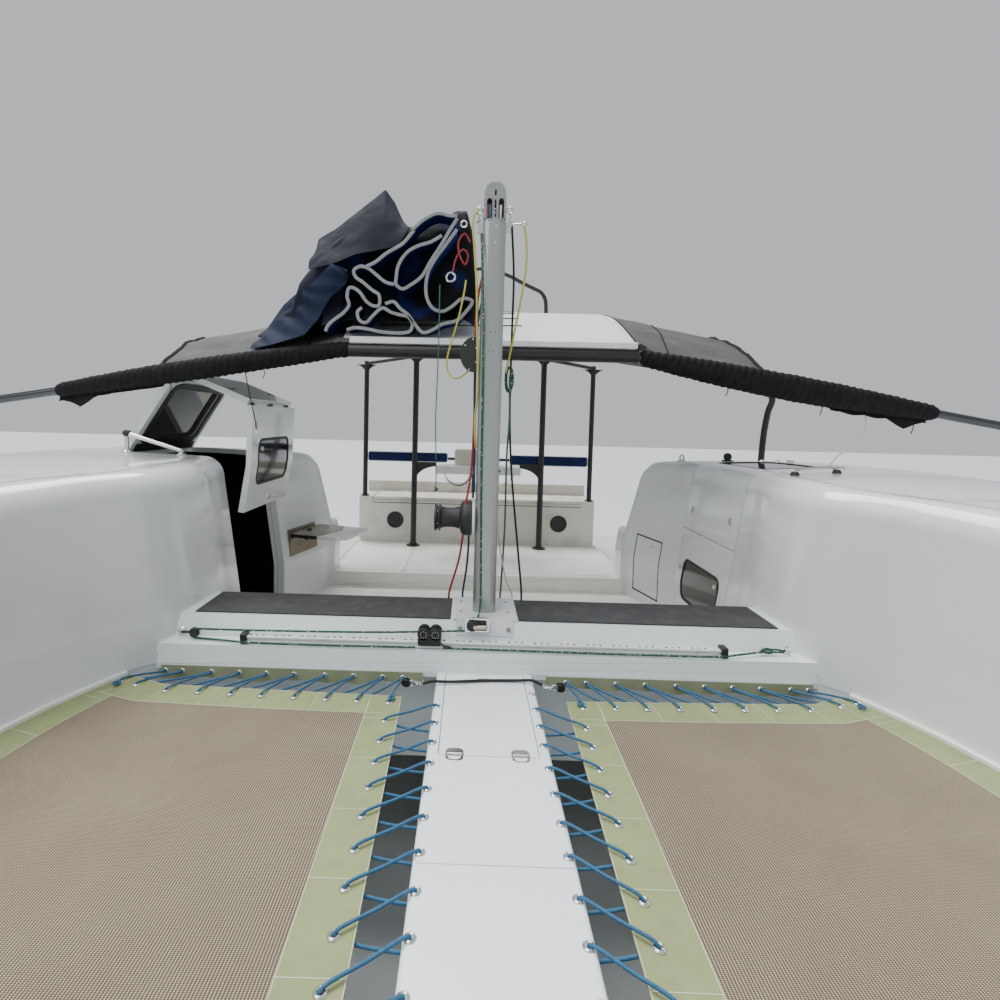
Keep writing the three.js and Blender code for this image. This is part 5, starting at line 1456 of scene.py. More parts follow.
def buildSideWindows():
    low, high = windows["side"][0][1:], windows["side"][1][1:]
    pane = windowPrism("x", *insetBy(low, high, 0.002), 0.058, 2.3, 2.8)
    placeBoth("side_window_{}_shown", common(layer(-0.004, -0.012, -0.9, 0.5, 0.9), pane), tinted,
              replaces=("side_window_{}",))
    seal = frameTool("x", low, high, 0.008, 0.006, 0.06, 2.3, 2.8)
    placeBoth("side_window_seal_{}", common(layer(0.0012, -0.006, -0.9, 0.5, 0.9), seal), gasket)


buildHatches()
buildJambs()
buildLocker()
buildSideWindows()
print("hatches and doors done", flush=True)

# Canopy: front tube, wrapped sleeves and one roof sheet
canopy = {"frontY": 0.39, "front": 2.152, "flat": 0.7, "drop": 0.166, "crestY": 1.57, "rise": 1.18,
          "fall": 0.99, "footX": 2.63, "wrapPitch": 0.034, "wrapDepth": 0.0085, "cloth": 0.003,
          "centre": 0.7}


def hoopAt(x):
    return canopy["front"] - canopy["drop"] * max(0.0, abs(x) - canopy["flat"])


def roofAt(x, y):
    beyond = max(0.0, abs(x) - canopy["flat"])
    front, crest, rear = hoopAt(x) + 0.066, 2.55 - 0.2 * beyond, 2.45 - 0.16 * beyond
    if y < canopy["crestY"]:
        return front + (crest - front) * math.sin((y - canopy["frontY"]) / canopy["rise"] * math.pi / 2)
    return crest + (rear - crest) * ((y - canopy["crestY"]) / canopy["fall"]) ** 2


def arched(start, end):
    steps = max(2, round(abs(end - start) / 0.06))
    across = [start + (end - start) * k / steps for k in range(steps + 1)]
    return [(x, canopy["frontY"], hoopAt(x)) for x in across]


sleeveFill = {"port": (0.02, 0.036), "starboard": (0.024, 0.008)}


def buildSleeve(side, start, end):
    path = smoothPath(arched(start, end), 0.0045)
    rings = []
    for index, (point, (sideways, above)) in enumerate(zip(path, framesAlong(path, (0, 0, 1)))):
        share = index / (len(path) - 1)
        along, taper = share * abs(end - start), min(1, 60 * share, 60 * (1 - share)) ** 0.5
        ring = []
        for k in range(26):
            turn = math.tau * k / 26
            one = (along / canopy["wrapPitch"] + 3 * k / 26) % 1
            two = (along / canopy["wrapPitch"] * 1.31 - 3 * k / 26) % 1
            wrap = canopy["wrapDepth"] * (0.75 * one - 0.9 * max(0, one - 0.86) / 0.14 * one
                                          - 0.25 * (abs(two - 0.5) < 0.06))
            size = 0.0215 + (0.01 + wrap + 0.002 * noise(point * 16)) * taper
            full = sleeveFill[side][math.sin(turn) > 0] * math.sin(math.pi * share) ** 0.8
            ring.append(point + sideways * math.cos(turn) * (size + 0.45 * full)
                        + above * math.sin(turn) * (size + full))
        rings.append(ring)
    piece = place(f"sleeve_{side}_shown", skin(rings), sleeveCloth, sharp=50, replaces=(f"sleeve_{side}",))
    first, last, tip = (1.62, 2.07, 1.966) if side == "port" else (-1.55, -2.06, -1.953)

    def ragAt(u, v):
        x = first + (last - first) * u
        depth = 0.01 + 0.014 * abs(noise(Vector((x * 9, 0, 7)))) + 0.04 * max(0, 1 - abs(x - tip) / 0.085)
        return (x, 0.392 - 0.012 * v + 0.006 * v * noise(Vector((x * 25, v, 2))),
                hoopAt(x) - 0.027 - (depth + 0.008) * v
                - sleeveFill[side][1] * math.sin(math.pi * (x - start) / (end - start)) ** 0.8)

    rag = sheetPart(shares(60), [0, 0.34, 0.67, 1], ragAt, lambda u, v: 0.002)[0]
    hem = place(f"sleeve_hem_{side}", rag, sleeveCloth, sharp=60)
    spots = [(start + (end - start) * share, share) for share in (0.93, 0.62, 0.3)]
    low = sleeveFill[side][1] * 0.8
    ties = [tube([(x, 0.4, hoopAt(x) - 0.03), (x + 0.006, 0.401, hoopAt(x) - 0.052 - low),
                  (x - 0.003, 0.402, hoopAt(x) - 0.068 - low - 0.02 * share)], 0.0022, 6)
            for x, share in spots]
    place(f"sleeve_ties_{side}", ties, ropeBlack)


def buildFrontTube():
    front, footX = canopy["frontY"], canopy["footX"]
    ends = [(2.42, front, hoopAt(2.42)), (2.545, front, 1.828), (2.618, front, 1.72), (footX, front, 1.48),
            (footX, front, 1.004)]
    arms = []
    for sign in (1, -1):
        arm = tube(arched(0.66, 2.36)[::4] + ends, 0.0205, 20, 0.03)
        foot = lathe([(0, 0), (0.043, 0), (0.043, 0.004), (0.028, 0.01), (0.024, 0.034), (0, 0.034)],
                     (footX, front, 1.008), sides=26)
        arms.append(mirror([arm, foot], sign))
    place("canopy_arms", arms, hoopMetal, replaces=("canopy_hoop",))
    place("canopy_front_tube", tube(arched(-0.66, 0.705), 0.0325, 24, 0.03), blackMetal)
    caps = [lathe([(0, 0), (0.03, 0), (0.036, 0.003), (0.036, 0.011), (0, 0.011)],
                  (0.7, front, canopy["front"]), (1, 0, -0.1), 28)]
    tail = [(0.69, 2.197), (0.715, 2.212), (0.748, 2.196), (0.735, 2.176)]
    caps.append(prism("y", tail, 0.375, 0.445))
    place("canopy_tube_caps", caps, blackPlastic, bevel=0.002)
    edge = ribbon(arched(-0.655, 0.7), [(-0.026, 0.034), (0.026, 0.034), (0.026, 0.058), (0.018, 0.064),
                                        (-0.016, 0.064), (-0.024, 0.058)], 0.03)
    place("canopy_front_edge", edge, plateWhite, sharp=50)
    slot = ribbon(arched(-0.655, 0.7), [(-0.029, 0.036), (-0.023, 0.036), (-0.023, 0.044), (-0.029, 0.044)],
                  0.03)
    place("canopy_front_groove", slot, blackMetal)


def roofEdge(sign, y):
    share = min(1.0, max(0.0, (y - canopy["frontY"]) / canopy["rise"]))
    return (1.33 + 0.12 * share) if sign > 0 else -(1.6 + 0.25 * share)


def roofShare(x, y):
    return (x - roofEdge(-1, y)) / (roofEdge(1, y) - roofEdge(-1, y))


def roofSpot(u, y, lift=0.0):
    left, right = roofEdge(-1, y), roofEdge(1, y)
    x = left + (right - left) * u
    beyond = max(0.0, abs(x) - 0.72)
    rumple = (0.014 * noise(Vector((x * 2.2, y * 7, 3.1)))
              + 0.007 * noise(Vector((x * 6, y * 15, 1.7)))) * min(1, beyond * 5)
    lower = 0.03 * max(0, 1 - (y - canopy["frontY"]) / 0.3) * min(1, beyond * 12)
    return Vector((x, y, roofAt(x, y) - 0.009 + rumple * min(1, (y - 0.38) * 8) - lower + lift))


def buildRoof():
    across, along = shares(90), [0.395 + 2.16 * k / 64 for k in range(65)]

    def kindAt(u, y):
        return int(abs(roofSpot(u, canopy["frontY"]).x) > canopy["centre"])

    part, kinds = sheetPart(across, along, roofSpot, lambda u, y: canopy["cloth"], kindAt)
    roof = place("canopy_roof_shown", part, [roofWhite, roofGrey], kinds=kinds, sharp=60,
                 replaces=("canopy_roof",))
    # straps over the middle, welts along the folds and the rolled side edges
    straps, welts = [], []
    for y in (0.62, 0.8, 0.99, 1.18, 1.37, 1.56):
        line = [roofSpot(0.36 + 0.25 * share, y + 0.05 * share, 0.0035) for share in shares(30)]
        straps.append(ribbon(line, flatSection(0.006, -0.002, 0.0015), smooth=False))
    for sign in (1, -1):
        edge = [roofShare(roofEdge(sign, y) - sign * 0.012, y) for y in along]
        welts.append(tube([roofSpot(u, y, 0.004) for u, y in zip(edge, along)], 0.01, 10, smooth=False))
        for front, rear in ((0.705, 0.765), (0.86, 1.08)):
            line = []
            for y in along[:36]:
                x = sign * (front + (rear - front) * (y - canopy["frontY"]) / canopy["rise"])
                line.append(roofSpot(roofShare(x, y), y, 0.003))
            welts.append(tube(line, 0.004, 8, smooth=False))
    rear = [roofSpot(share, 2.548, 0.001) for share in shares(60)]
    welts.append(tube(rear, 0.008, 8, smooth=False))
    strapPiece = place("canopy_straps", straps, sleeveCloth)
    weltPiece = place("canopy_welts", welts, sleeveCloth)


# Sail lying folded on the canopy: one cloth over the heap, flaps and edge folds in front
sail = {
    "tape": 0.016, "foldDepth": 0.13, "crumple": 0.014, "clothArea": (1.5, 1.1),
    "ridge": [(-1.19, 2.19), (-1.141, 2.275), (-1.051, 2.4), (-0.978, 2.45), (-0.953, 2.575), (-0.88, 2.68),
              (-0.793, 2.775), (-0.654, 2.893), (-0.54, 2.985), (-0.493, 2.93), (-0.444, 2.825),
              (-0.38, 2.815), (-0.245, 2.865), (-0.178, 2.915), (-0.119, 2.92), (-0.09, 2.8),
              (-0.05, 2.47)],
    "coverLow": [(-0.87, 0.41, 2.535), (-0.752, 0.385, 2.552), (-0.641, 0.385, 2.601),
                 (-0.436, 0.385, 2.644), (-0.388, 0.4, 2.735)],
    "coverTop": [(-0.895, 0.61, 2.66), (-0.88, 0.62, 2.742), (-0.8, 0.62, 2.79), (-0.654, 0.62, 2.906),
                 (-0.538, 0.62, 2.998), (-0.49, 0.62, 2.935), (-0.442, 0.58, 2.83)],
    "flapLow": [(-1.15, 0.42, 2.152), (-1.037, 0.385, 2.168), (-0.877, 0.375, 2.215), (-0.813, 0.37, 2.284),
                (-0.75, 0.37, 2.395), (-0.679, 0.37, 2.46), (-0.668, 0.38, 2.5)],
    "flapTop": [(-1.182, 0.6, 2.215), (-1.13, 0.6, 2.287), (-1.045, 0.59, 2.402), (-0.965, 0.55, 2.452),
                (-0.863, 0.41, 2.458), (-0.752, 0.385, 2.556), (-0.672, 0.385, 2.528)],
}
edgeFolds = [
    [(-0.37, 2.71), (-0.34, 2.74), (-0.3, 2.77), (-0.25, 2.79), (-0.19, 2.78), (-0.16, 2.78)],
    [(-0.16, 2.77), (-0.19, 2.72), (-0.23, 2.65), (-0.28, 2.57), (-0.32, 2.5), (-0.37, 2.46), (-0.41, 2.44),
     (-0.44, 2.46), (-0.44, 2.49), (-0.43, 2.55), (-0.39, 2.61), (-0.34, 2.64), (-0.28, 2.66),
     (-0.23, 2.69)],
    [(-0.16, 2.72), (-0.21, 2.65), (-0.26, 2.58), (-0.29, 2.52), (-0.3, 2.45), (-0.29, 2.39), (-0.26, 2.35),
     (-0.22, 2.34), (-0.18, 2.36), (-0.13, 2.4), (-0.1, 2.4), (-0.08, 2.39), (-0.11, 2.34), (-0.15, 2.3),
     (-0.22, 2.28), (-0.27, 2.25), (-0.31, 2.24), (-0.35, 2.28), (-0.38, 2.32), (-0.42, 2.35),
     (-0.45, 2.38), (-0.49, 2.37)],
    [(-0.58, 2.54), (-0.54, 2.56), (-0.49, 2.6), (-0.44, 2.63), (-0.41, 2.65), (-0.36, 2.71)],
    [(-0.45, 2.46), (-0.49, 2.47), (-0.53, 2.5), (-0.57, 2.53), (-0.61, 2.54), (-0.64, 2.52), (-0.63, 2.49),
     (-0.6, 2.47), (-0.55, 2.43), (-0.52, 2.41), (-0.52, 2.36), (-0.55, 2.36), (-0.58, 2.38), (-0.61, 2.42),
     (-0.64, 2.44), (-0.66, 2.44), (-0.67, 2.4), (-0.66, 2.36), (-0.69, 2.32), (-0.73, 2.29), (-0.76, 2.26),
     (-0.77, 2.235)],
    [(-0.6, 2.35), (-0.62, 2.33), (-0.61, 2.29), (-0.58, 2.28), (-0.55, 2.31), (-0.52, 2.34), (-0.5, 2.35),
     (-0.46, 2.33), (-0.42, 2.32), (-0.38, 2.31), (-0.36, 2.28), (-0.37, 2.245), (-0.41, 2.235),
     (-0.46, 2.235), (-0.52, 2.24), (-0.57, 2.25), (-0.63, 2.255), (-0.67, 2.245)],
]


def along(points, share):
    spot = min(0.9999, max(0.0, share)) * (len(points) - 1)
    return Vector(points[int(spot)]).lerp(Vector(points[int(spot) + 1]), spot - int(spot))


def crumple(point, size):
    ridged = 1 - 2 * abs(noise(point * 5.3))
    finer = 1 - 2 * abs(noise(point * 11.7 + Vector((3, 1, 5))))
    return size * (ridged + 0.5 * finer + 0.2 * noise(point * 31))


def heapAt(u, v):
    x = -1.188 + 1.138 * u
    y = between([(-1.19, 0.62), (-1.0, 0.5), (-0.78, 0.46), (-0.55, 0.48), (-0.05, 0.5)], x)
    y -= 0.085 * max(0, 1 - v / 0.035) * (x > -0.8)
    rear = between([(-1.19, 0.8), (-1.08, 0.95), (-0.95, 1.05), (-0.55, 1.11), (-0.125, 1.05),
                    (-0.04, 0.88)], x)
    turn = math.pi * v
    lean = between(sail["ridge"], x) - 0.045 * max(0, min(1, (-0.46 - x) / 0.06))
    y = y + (rear - y) * (0.5 - 0.5 * math.cos(turn)) ** (1.35 if v < 0.5 else 1.0)
    base = roofAt(x, y) + 0.004
    z = base + max(0.012, lean - base) * math.sin(min(math.pi - 0.02, max(0.02, turn))) ** 0.55
    point = Vector((x, y, z))
    push = crumple(point, sail["crumple"]) * min(1, 6 * v, 6 * (1 - v), 9 * u + 0.1, 9 * (1 - u) + 0.1)
    return Vector((x + 0.35 * push, y - push * math.cos(turn), max(base, z + 0.45 * push * math.sin(turn))))


def flapAt(low, top, folds):
    def placeAt(u, v):
        point = along(low, u).lerp(along(top, u), v)
        wave = math.sin(math.pi * v) * 0.012 * math.sin(folds * math.tau * u + 3 * v)
        return point + Vector((0, -0.014 * math.sin(math.pi * v) - wave + crumple(point, 0.006), 0))
    return placeAt


def buildSail():
    # the front of the heap behind the folds takes sailInside, painted shade
    part, kinds = sheetPart(shares(110), shares(96), heapAt, lambda u, v: 0.002,
                            lambda u, v: int(u > 0.42 and v < 0.5))
    heap = place("sail_bundle_shown", part, [sailSlate, sailInside], kinds=kinds, sharp=70,
                 replaces=("sail_bundle",))
    for name, low, top, folds, finish in (("cover", "coverLow", "coverTop", 1.5, sailSlate),
                                          ("flap", "flapLow", "flapTop", 7, sailNavy)):
        part = sheetPart(shares(70), shares(30), flapAt(sail[low], sail[top], folds),
                         lambda u, v: 0.0022)[0]
        place(f"sail_{name}", part, finish, sharp=70)
    folds, tapes = [], []
    for index, route in enumerate(edgeFolds):
        front = 0.3665 + 0.0025 * (index % 3)
        line = [(x, front, z) for x, z in route]
        deep = sail["foldDepth"] + 0.01 * (index % 2)
        folds.append(ribbon(line, flatSection(0.0008, 0.004, deep), 0.012, (0, 1, 0)))
        wide = sail["tape"] / 2
        tapes.append(ribbon(line, [(-wide, -0.002), (-wide + 0.002, -0.0045), (wide - 0.002, -0.0045),
                                   (wide, -0.002), (wide, 0.002), (wide - 0.003, 0.004),
                                   (-wide + 0.003, 0.004), (-wide, 0.002)], 0.008, (0, 1, 0)))
    place("sail_folds", folds, sailBlue, sharp=60)
    place("sail_tape", tapes, webbing, sharp=50)
    corner = [torus((-0.185, 0.372, 2.5), (0.2, 1, 0), 0.021, 0.005, 24, 10),
              torus((-0.128, 0.37, 2.745), (0.2, 1, 0.2), 0.014, 0.0035, 20)]
    place("sail_rings", corner, chrome)
    red = [tube([(-0.175, 0.362, 2.52), (-0.16, 0.358, 2.585), (-0.128, 0.358, 2.625), (-0.104, 0.36, 2.6),
                 (-0.118, 0.36, 2.555), (-0.145, 0.36, 2.6), (-0.15, 0.36, 2.665), (-0.122, 0.362, 2.7),
                 (-0.098, 0.362, 2.66)], 0.0042, 8)]
    place("sail_lashing", red, ropeRed)


# Lines that hang down, each drawn as a tube along its route; its length is summed but not used
def hangingLine(name, route, radius, finish):
    path = smoothPath(route, 0.02)
    length = sum((two - one).length for one, two in zip(path, path[1:]))
    piece = place(name, tube(route, radius), finish)
    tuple(route[0])
    [tuple(point) for point in path]
    return piece


def buildLooseLines():
    route = [(-0.112, 0.346, 2.48), (-0.116, 0.334, 2.44), (-0.126, 0.328, 2.38), (-0.14, 0.324, 2.31),
             (-0.158, 0.322, 2.24), (-0.178, 0.32, 2.17), (-0.19, 0.316, 2.11), (-0.188, 0.308, 2.064),
             (-0.172, 0.292, 2.034), (-0.15, 0.262, 2.02), (-0.126, 0.226, 2.022), (-0.104, 0.186, 2.034),
             (-0.086, 0.146, 2.05), (-0.07, 0.106, 2.066), (-0.056, 0.078, 2.078), (-0.052, 0.064, 2.086)]
    loop = hangingLine("rope_loop_shown", route, 0.004, ropeYellow)
    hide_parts("rope_loop")
    knot = place("green_line_knot", [torus((-0.2275, 0.3, 1.512), (0.3, 0.2, 1), 0.007, 0.0035, 16),
                                     torus((-0.2275, 0.3, 1.503), (-0.3, 0.5, 1), 0.006, 0.0035, 16)],
                 ropeGreen)
    hangingLine("green_line", [(-0.232, 0.358, 2.46), (-0.232, 0.335, 2.452), (-0.231, 0.317, 2.42),
                               (-0.2295, 0.305, 2.33), (-0.229, 0.301, 2.236), (-0.2305, 0.3, 2.12),
                               (-0.232, 0.3, 2.022), (-0.2345, 0.3, 1.92), (-0.236, 0.3, 1.829),
                               (-0.233, 0.3, 1.73), (-0.229, 0.3, 1.62), (-0.2275, 0.3, 1.51)], 0.0025,
                ropeGreen)
    hook = place("door_line_hook", [tube([(-1.131, 0.45, 1.745), (-1.136, 0.45, 1.725),
                                          (-1.137, 0.45, 1.704), (-1.128, 0.45, 1.692),
                                          (-1.119, 0.45, 1.704), (-1.121, 0.45, 1.728),
                                          (-1.131, 0.45, 1.745)], 0.0026, 8),
                                    torus((-1.13, 0.45, 1.753), (0, 1, 0), 0.006, 0.002, 16)], chrome)
    whipping = place("door_line_whipping",
                     barPart((-1.1313, 0.4495, 1.795), (-1.1303, 0.45, 1.765), 0.0042, 10), ropeRed)
    hangingLine("door_line", [(-1.165, 0.4, 2.043), (-1.163, 0.404, 2.02), (-1.159, 0.414, 1.98),
                              (-1.153, 0.425, 1.93), (-1.146, 0.436, 1.88), (-1.138, 0.444, 1.83),
                              (-1.1313, 0.4495, 1.795), (-1.13, 0.45, 1.76)], 0.0025, ropeBlack)


for side, start, end in (("port", 0.72, 2.12), ("starboard", -0.65, -2.07)):
    buildSleeve(side, start, end)
buildFrontTube()
buildRoof()
print("canopy done", flush=True)
buildSail()
buildLooseLines()
print("sail done", flush=True)

# Posts, rails and hoop behind the cockpit
aftFrame = {"innerX": 0.56, "innerY": 2.6, "outerX": 1.035, "outerY": 2.8, "top": 2.38, "outerTop": 2.326,
            "innerRadius": 0.0255, "outerRadius": 0.022}


def buildAftFrame():
    a, parts = aftFrame, []
    for sign in (1, -1):
        inner, outer = sign * a["innerX"], sign * a["outerX"]
        parts.append(barPart((inner, a["innerY"], 0.702), (inner, a["innerY"], 2.4), a["innerRadius"]))
        parts.append(barPart((outer, a["outerY"], 1.112), (outer, a["outerY"], a["outerTop"] + 0.02),
                             a["outerRadius"]))
        for x, y, z, wide in ((inner, a["innerY"], 0.701, 0.06), (outer, a["outerY"], 1.111, 0.042)):
            parts.append(lathe([(0, 0), (wide, 0), (wide, 0.006), (wide * 0.62, 0.009), (wide * 0.5, 0.026),
                                (0, 0.026)], (x, y, z), (0, 0, 1), 26))
            parts += [screwPart((x + wide * 0.78 * math.cos(turn), y + wide * 0.78 * math.sin(turn),
                                 z + 0.006), 0.006) for turn in (0.8, 2.4, 3.9, 5.5)]
        parts.append(barPart((inner, a["innerY"], a["top"]), (outer, a["outerY"], a["outerTop"]), 0.016,
                             16))
        rail = [(inner, y, roofAt(inner, y) - 0.038) for y in [0.45 + 2.15 * k / 6 for k in range(6)]]
        parts.append(tube(rail + [(inner, a["innerY"], a["top"])], 0.016, 14, 0.06))
        # flared brackets at the tops and curved ones that carry the tray
        for x, y, top, reach in ((inner, a["innerY"], a["top"], 0.075),
                                 (outer, a["outerY"], a["outerTop"], 0.085)):
            for way in (-1, 1):
                curve = [(x + way * (0.012 + reach * (k / 6) ** 2),
                          top - 0.012 - 0.085 * (1 - k / 6) ** 1.4) for k in range(7)]
                outline = [(x + way * 0.01, top - 0.008)] + curve
                parts.append(prism("y", outline if way > 0 else outline[::-1], y - 0.004, y + 0.004))
        curve = [(0.545 - 0.175 * (k / 8) ** 1.5, 1.318 + 0.102 * (1 - (1 - k / 8) ** 1.7))
                 for k in range(9)]
        gusset = prism("y", [(0.545, 1.448), (0.545, 1.318)] + curve[1:] + [(0.368, 1.448)],
                       a["innerY"] - 0.005, a["innerY"] + 0.005)
        edge = tube([(x, a["innerY"], z - 0.002) for x, z in curve], 0.006, 8, smooth=False)
        parts += [mirror(gusset, sign), mirror(edge, sign)]
    parts.append(barPart((-a["innerX"], a["innerY"], a["top"]), (a["innerX"], a["innerY"], a["top"]),
                         0.016))
    parts.append(barPart((-a["outerX"], a["outerY"], 1.47), (a["outerX"], a["outerY"], 1.47), 0.014))
    half = [(-x, a["innerY"], z) for x, z in ((a["innerX"], a["top"]), (a["innerX"], 2.6),
        (a["innerX"], 2.78), (0.548, 2.9), (0.51, 2.955), (0.45, 2.985), (0.34, 3.035), (0.23, 3.09))]
    hoop = half + [(0, a["innerY"], 3.148)] + [(-x, y, z) for x, y, z in half[::-1]]
    parts.append(tube(hoop, 0.0165, 16))
    place("aft_frame_shown", parts, blackMetal, replaces=("aft_frame",))


bench = {"half": 1.079, "front": 2.76, "rear": 3.25, "top": 1.11, "coaming": 1.21, "hinge": 3.13,
         "vents": (-0.745, 0.756), "ventHeight": 0.897}


def buildBench():
    b = bench
    shell = merged(box((-b["half"], b["front"], 0.702), (b["half"], b["rear"], b["top"])),
                   box((-1.07, b["rear"] - 0.08, b["top"] - 0.02), (1.07, b["rear"], b["coaming"])))
    shell = cut(shell, box((-0.93, 2.8, 0.76), (0.93, 3.11, 1.3)),
                box((-0.96, 2.6, 1.0795), (0.96, 3.136, 1.3)))
    place("bench_shown", shell, deckPaint, bevel=0.009, replaces=("bench",))
    place("bench_lid_shown", box((-0.954, b["front"] + 0.001, 1.0815), (0.954, b["hinge"], b["top"])),
          deckPaint, "bench_lid", bevel=0.008, replaces=("bench_lid",))
    place("bench_shadow_line",
          box((-0.965, b["front"] - 0.0015, 1.052), (0.965, b["front"] + 0.004, 1.0575)), blackPlastic)
    hinges = [cylinder(0.007, -0.03, 0.03, (x, b["hinge"], b["top"]), (1, 0, 0), 14)
              for x in (-0.7, 0, 0.7)]
    place("bench_hinges", hinges, steel, "bench_lid")
    fillet = [(2.7615, 0.7005), (2.7615, 0.745), (2.755, 0.722), (2.741, 0.7065), (2.718, 0.7005)]
    place("bench_foot_fillet", prism("x", fillet, -b["half"] + 0.004, b["half"] - 0.004), deckPaint)
    vents, shades = [], []
    rim = [(0.043, 0), (0.076, 0), (0.0775, 0.003), (0.074, 0.008), (0.066, 0.01), (0.06, 0.006),
           (0.052, 0.004), (0.043, 0.004)]
    hub = [(0, 0), (0.017, 0), (0.017, 0.006), (0.008, 0.008), (0, 0.008)]
    height = b["ventHeight"]
    for x in b["vents"]:
        vents.append(lathe(rim, (x, b["front"] + 0.0005, height), (0, -1, 0), 40))
        vents.append(lathe(hub, (x, b["front"], height), (0, -1, 0), 20))
        for turn in turns(8):
            spoke = [(x + reach * math.cos(turn), b["front"] - 0.003, height + reach * math.sin(turn))
                     for reach in (0.012, 0.047)]
            vents.append(barPart(*spoke, 0.0032, 8))
        # dark disc behind each vent's spokes: painted shade of the vent's inside
        shades.append(cylinder(0.06, 0, 0.0015, (x, b["front"] + 0.0002, height), (0, -1, 0), 30))
    place("bench_vents", vents, blackPlastic, sharp=50)
    place("bench_vent_mesh", shades, lining)


# Pads swell as cloth under pressure
def swollen(part, cap, pressure=4.0):
    mesh = toMesh(part, "blank")
    blank = bpy.data.objects.new("blank", mesh)
    scene.collection.objects.link(blank)
    remesh = blank.modifiers.new("remesh", "REMESH")
    remesh.mode = "VOXEL"
    remesh.voxel_size = 0.006
    graph = bpy.context.evaluated_depsgraph_get()
    blank.data = bpy.data.meshes.new_from_object(blank.evaluated_get(graph))
    blank.modifiers.clear()
    before = [vertex.co.copy() for vertex in blank.data.vertices]
    cloth = blank.modifiers.new("cloth", "CLOTH")
    cloth.settings.use_pressure = True
    cloth.settings.uniform_pressure_force = pressure
    cloth.settings.effector_weights.gravity = 0
    for frameNumber in range(1, 21):
        scene.frame_set(frameNumber)
    graph = bpy.context.evaluated_depsgraph_get()
    grown = bpy.data.meshes.new_from_object(blank.evaluated_get(graph))
    blank.modifiers.clear()
    for vertex, start in zip(grown.vertices, before):
        step = vertex.co - start
        vertex.co = start + step * min(1.0, cap / max(1e-9, step.length))
    blank.data = grown
    scene.frame_set(1)
    result = toPart(blank.data)
    bpy.data.objects.remove(blank)
    return result


pads = {"port": (0.288, 1.004, 1.424, 1.524), "starboard": (-1.006, -0.268, 1.434, 1.53), "front": 2.741,
        "back": 2.781}


def buildPads():
    for side in ("port", "starboard"):
        left, right, low, high = pads[side]
        centre, halfs = ((left + right) / 2, (low + high) / 2), ((right - left) / 2 - 0.004,
                                                                 (high - low) / 2 - 0.004)
        blank = roundedPrism("y", halfs[0] + 0.002, halfs[1] + 0.002, 0.02, centre, pads["front"] + 0.003,
                             pads["back"])
        piece = place(f"backrest_{side}_shown", swollen(blank, 0.0045), blueCloth, sharp=80,
                      replaces=(f"backrest_{side}",))
        seam = roundedOutline(halfs[0] - 0.002, halfs[1] - 0.002, 0.02, centre)
        ring = [(x, pads["front"] + 0.006, z) for x, z in seam]
        place(f"backrest_piping_{side}", tube(ring + ring[:1], 0.0042, 8, smooth=False), piping)
        spots = (left + 0.09, right - 0.09)
        straps = [torus((x, 2.796, 1.47), (1, 0, 0), 0.0165, 0.0035, 24) for x in spots]
        tabs = [box((x - 0.012, 2.776, 1.462), (x + 0.012, 2.786, 1.478)) for x in spots]
        place(f"backrest_straps_{side}", [*straps, *tabs], sleeveCloth)


def buildTray():
    slab = cut(roundedPrism("y", 0.362, 0.035, 0.014, (0.0, 1.403), 2.392, 2.648),
               box((-0.335, 2.415, 1.424), (0.335, 2.6, 1.5)))
    place("helm_tray_shown", slab, whitePlastic, bevel=0.004, replaces=("helm_tray",))
    housing = roundedPrism("y", 0.098, 0.072, 0.018, (-0.105, 1.503), 2.492, 2.638)
    housing = cut(housing, box((-0.21, 2.485, 1.532), (0.0, 2.4955, 1.5345)))
    place("tray_housing", housing, creamWhite, bevel=0.0025)
    dial = [lathe([(0, 0), (0.031, 0), (0.033, 0.003), (0.03, 0.008), (0, 0.009)], (0.09, 2.394, 1.404),
                  (0, -1, 0), 30),
            lathe([(0, 0), (0.01, 0), (0.01, 0.014), (0, 0.015)], (0.18, 2.394, 1.404), (0, -1, 0), 18)]
    place("tray_controls", dial, blackPlastic)
    leads = [tube([(0.02, 2.6, 1.372), (0.06, 2.6, 1.31), (0.16, 2.6, 1.262), (0.27, 2.6, 1.29),
                   (0.33, 2.6, 1.36), (0.345, 2.6, 1.375)], 0.006, 10),
             tube([(-0.06, 2.58, 1.372), (-0.1, 2.58, 1.29), (-0.18, 2.58, 1.262), (-0.27, 2.58, 1.31),
                   (-0.3, 2.58, 1.374)], 0.006, 10)]
    place("tray_leads", leads, whitePlastic)
    place("tray_leads_dark", moved(leads[1], Matrix.Translation((0.004, 0.02, -0.014))), blackPlastic)


# Folding board on the starboard cabin side, in the flat frame of its hinge
boardFrame = Matrix.Translation((-1.1609, 1.38, 0.9)) @ Matrix.Rotation(-locker["turn"], 4, "Z")


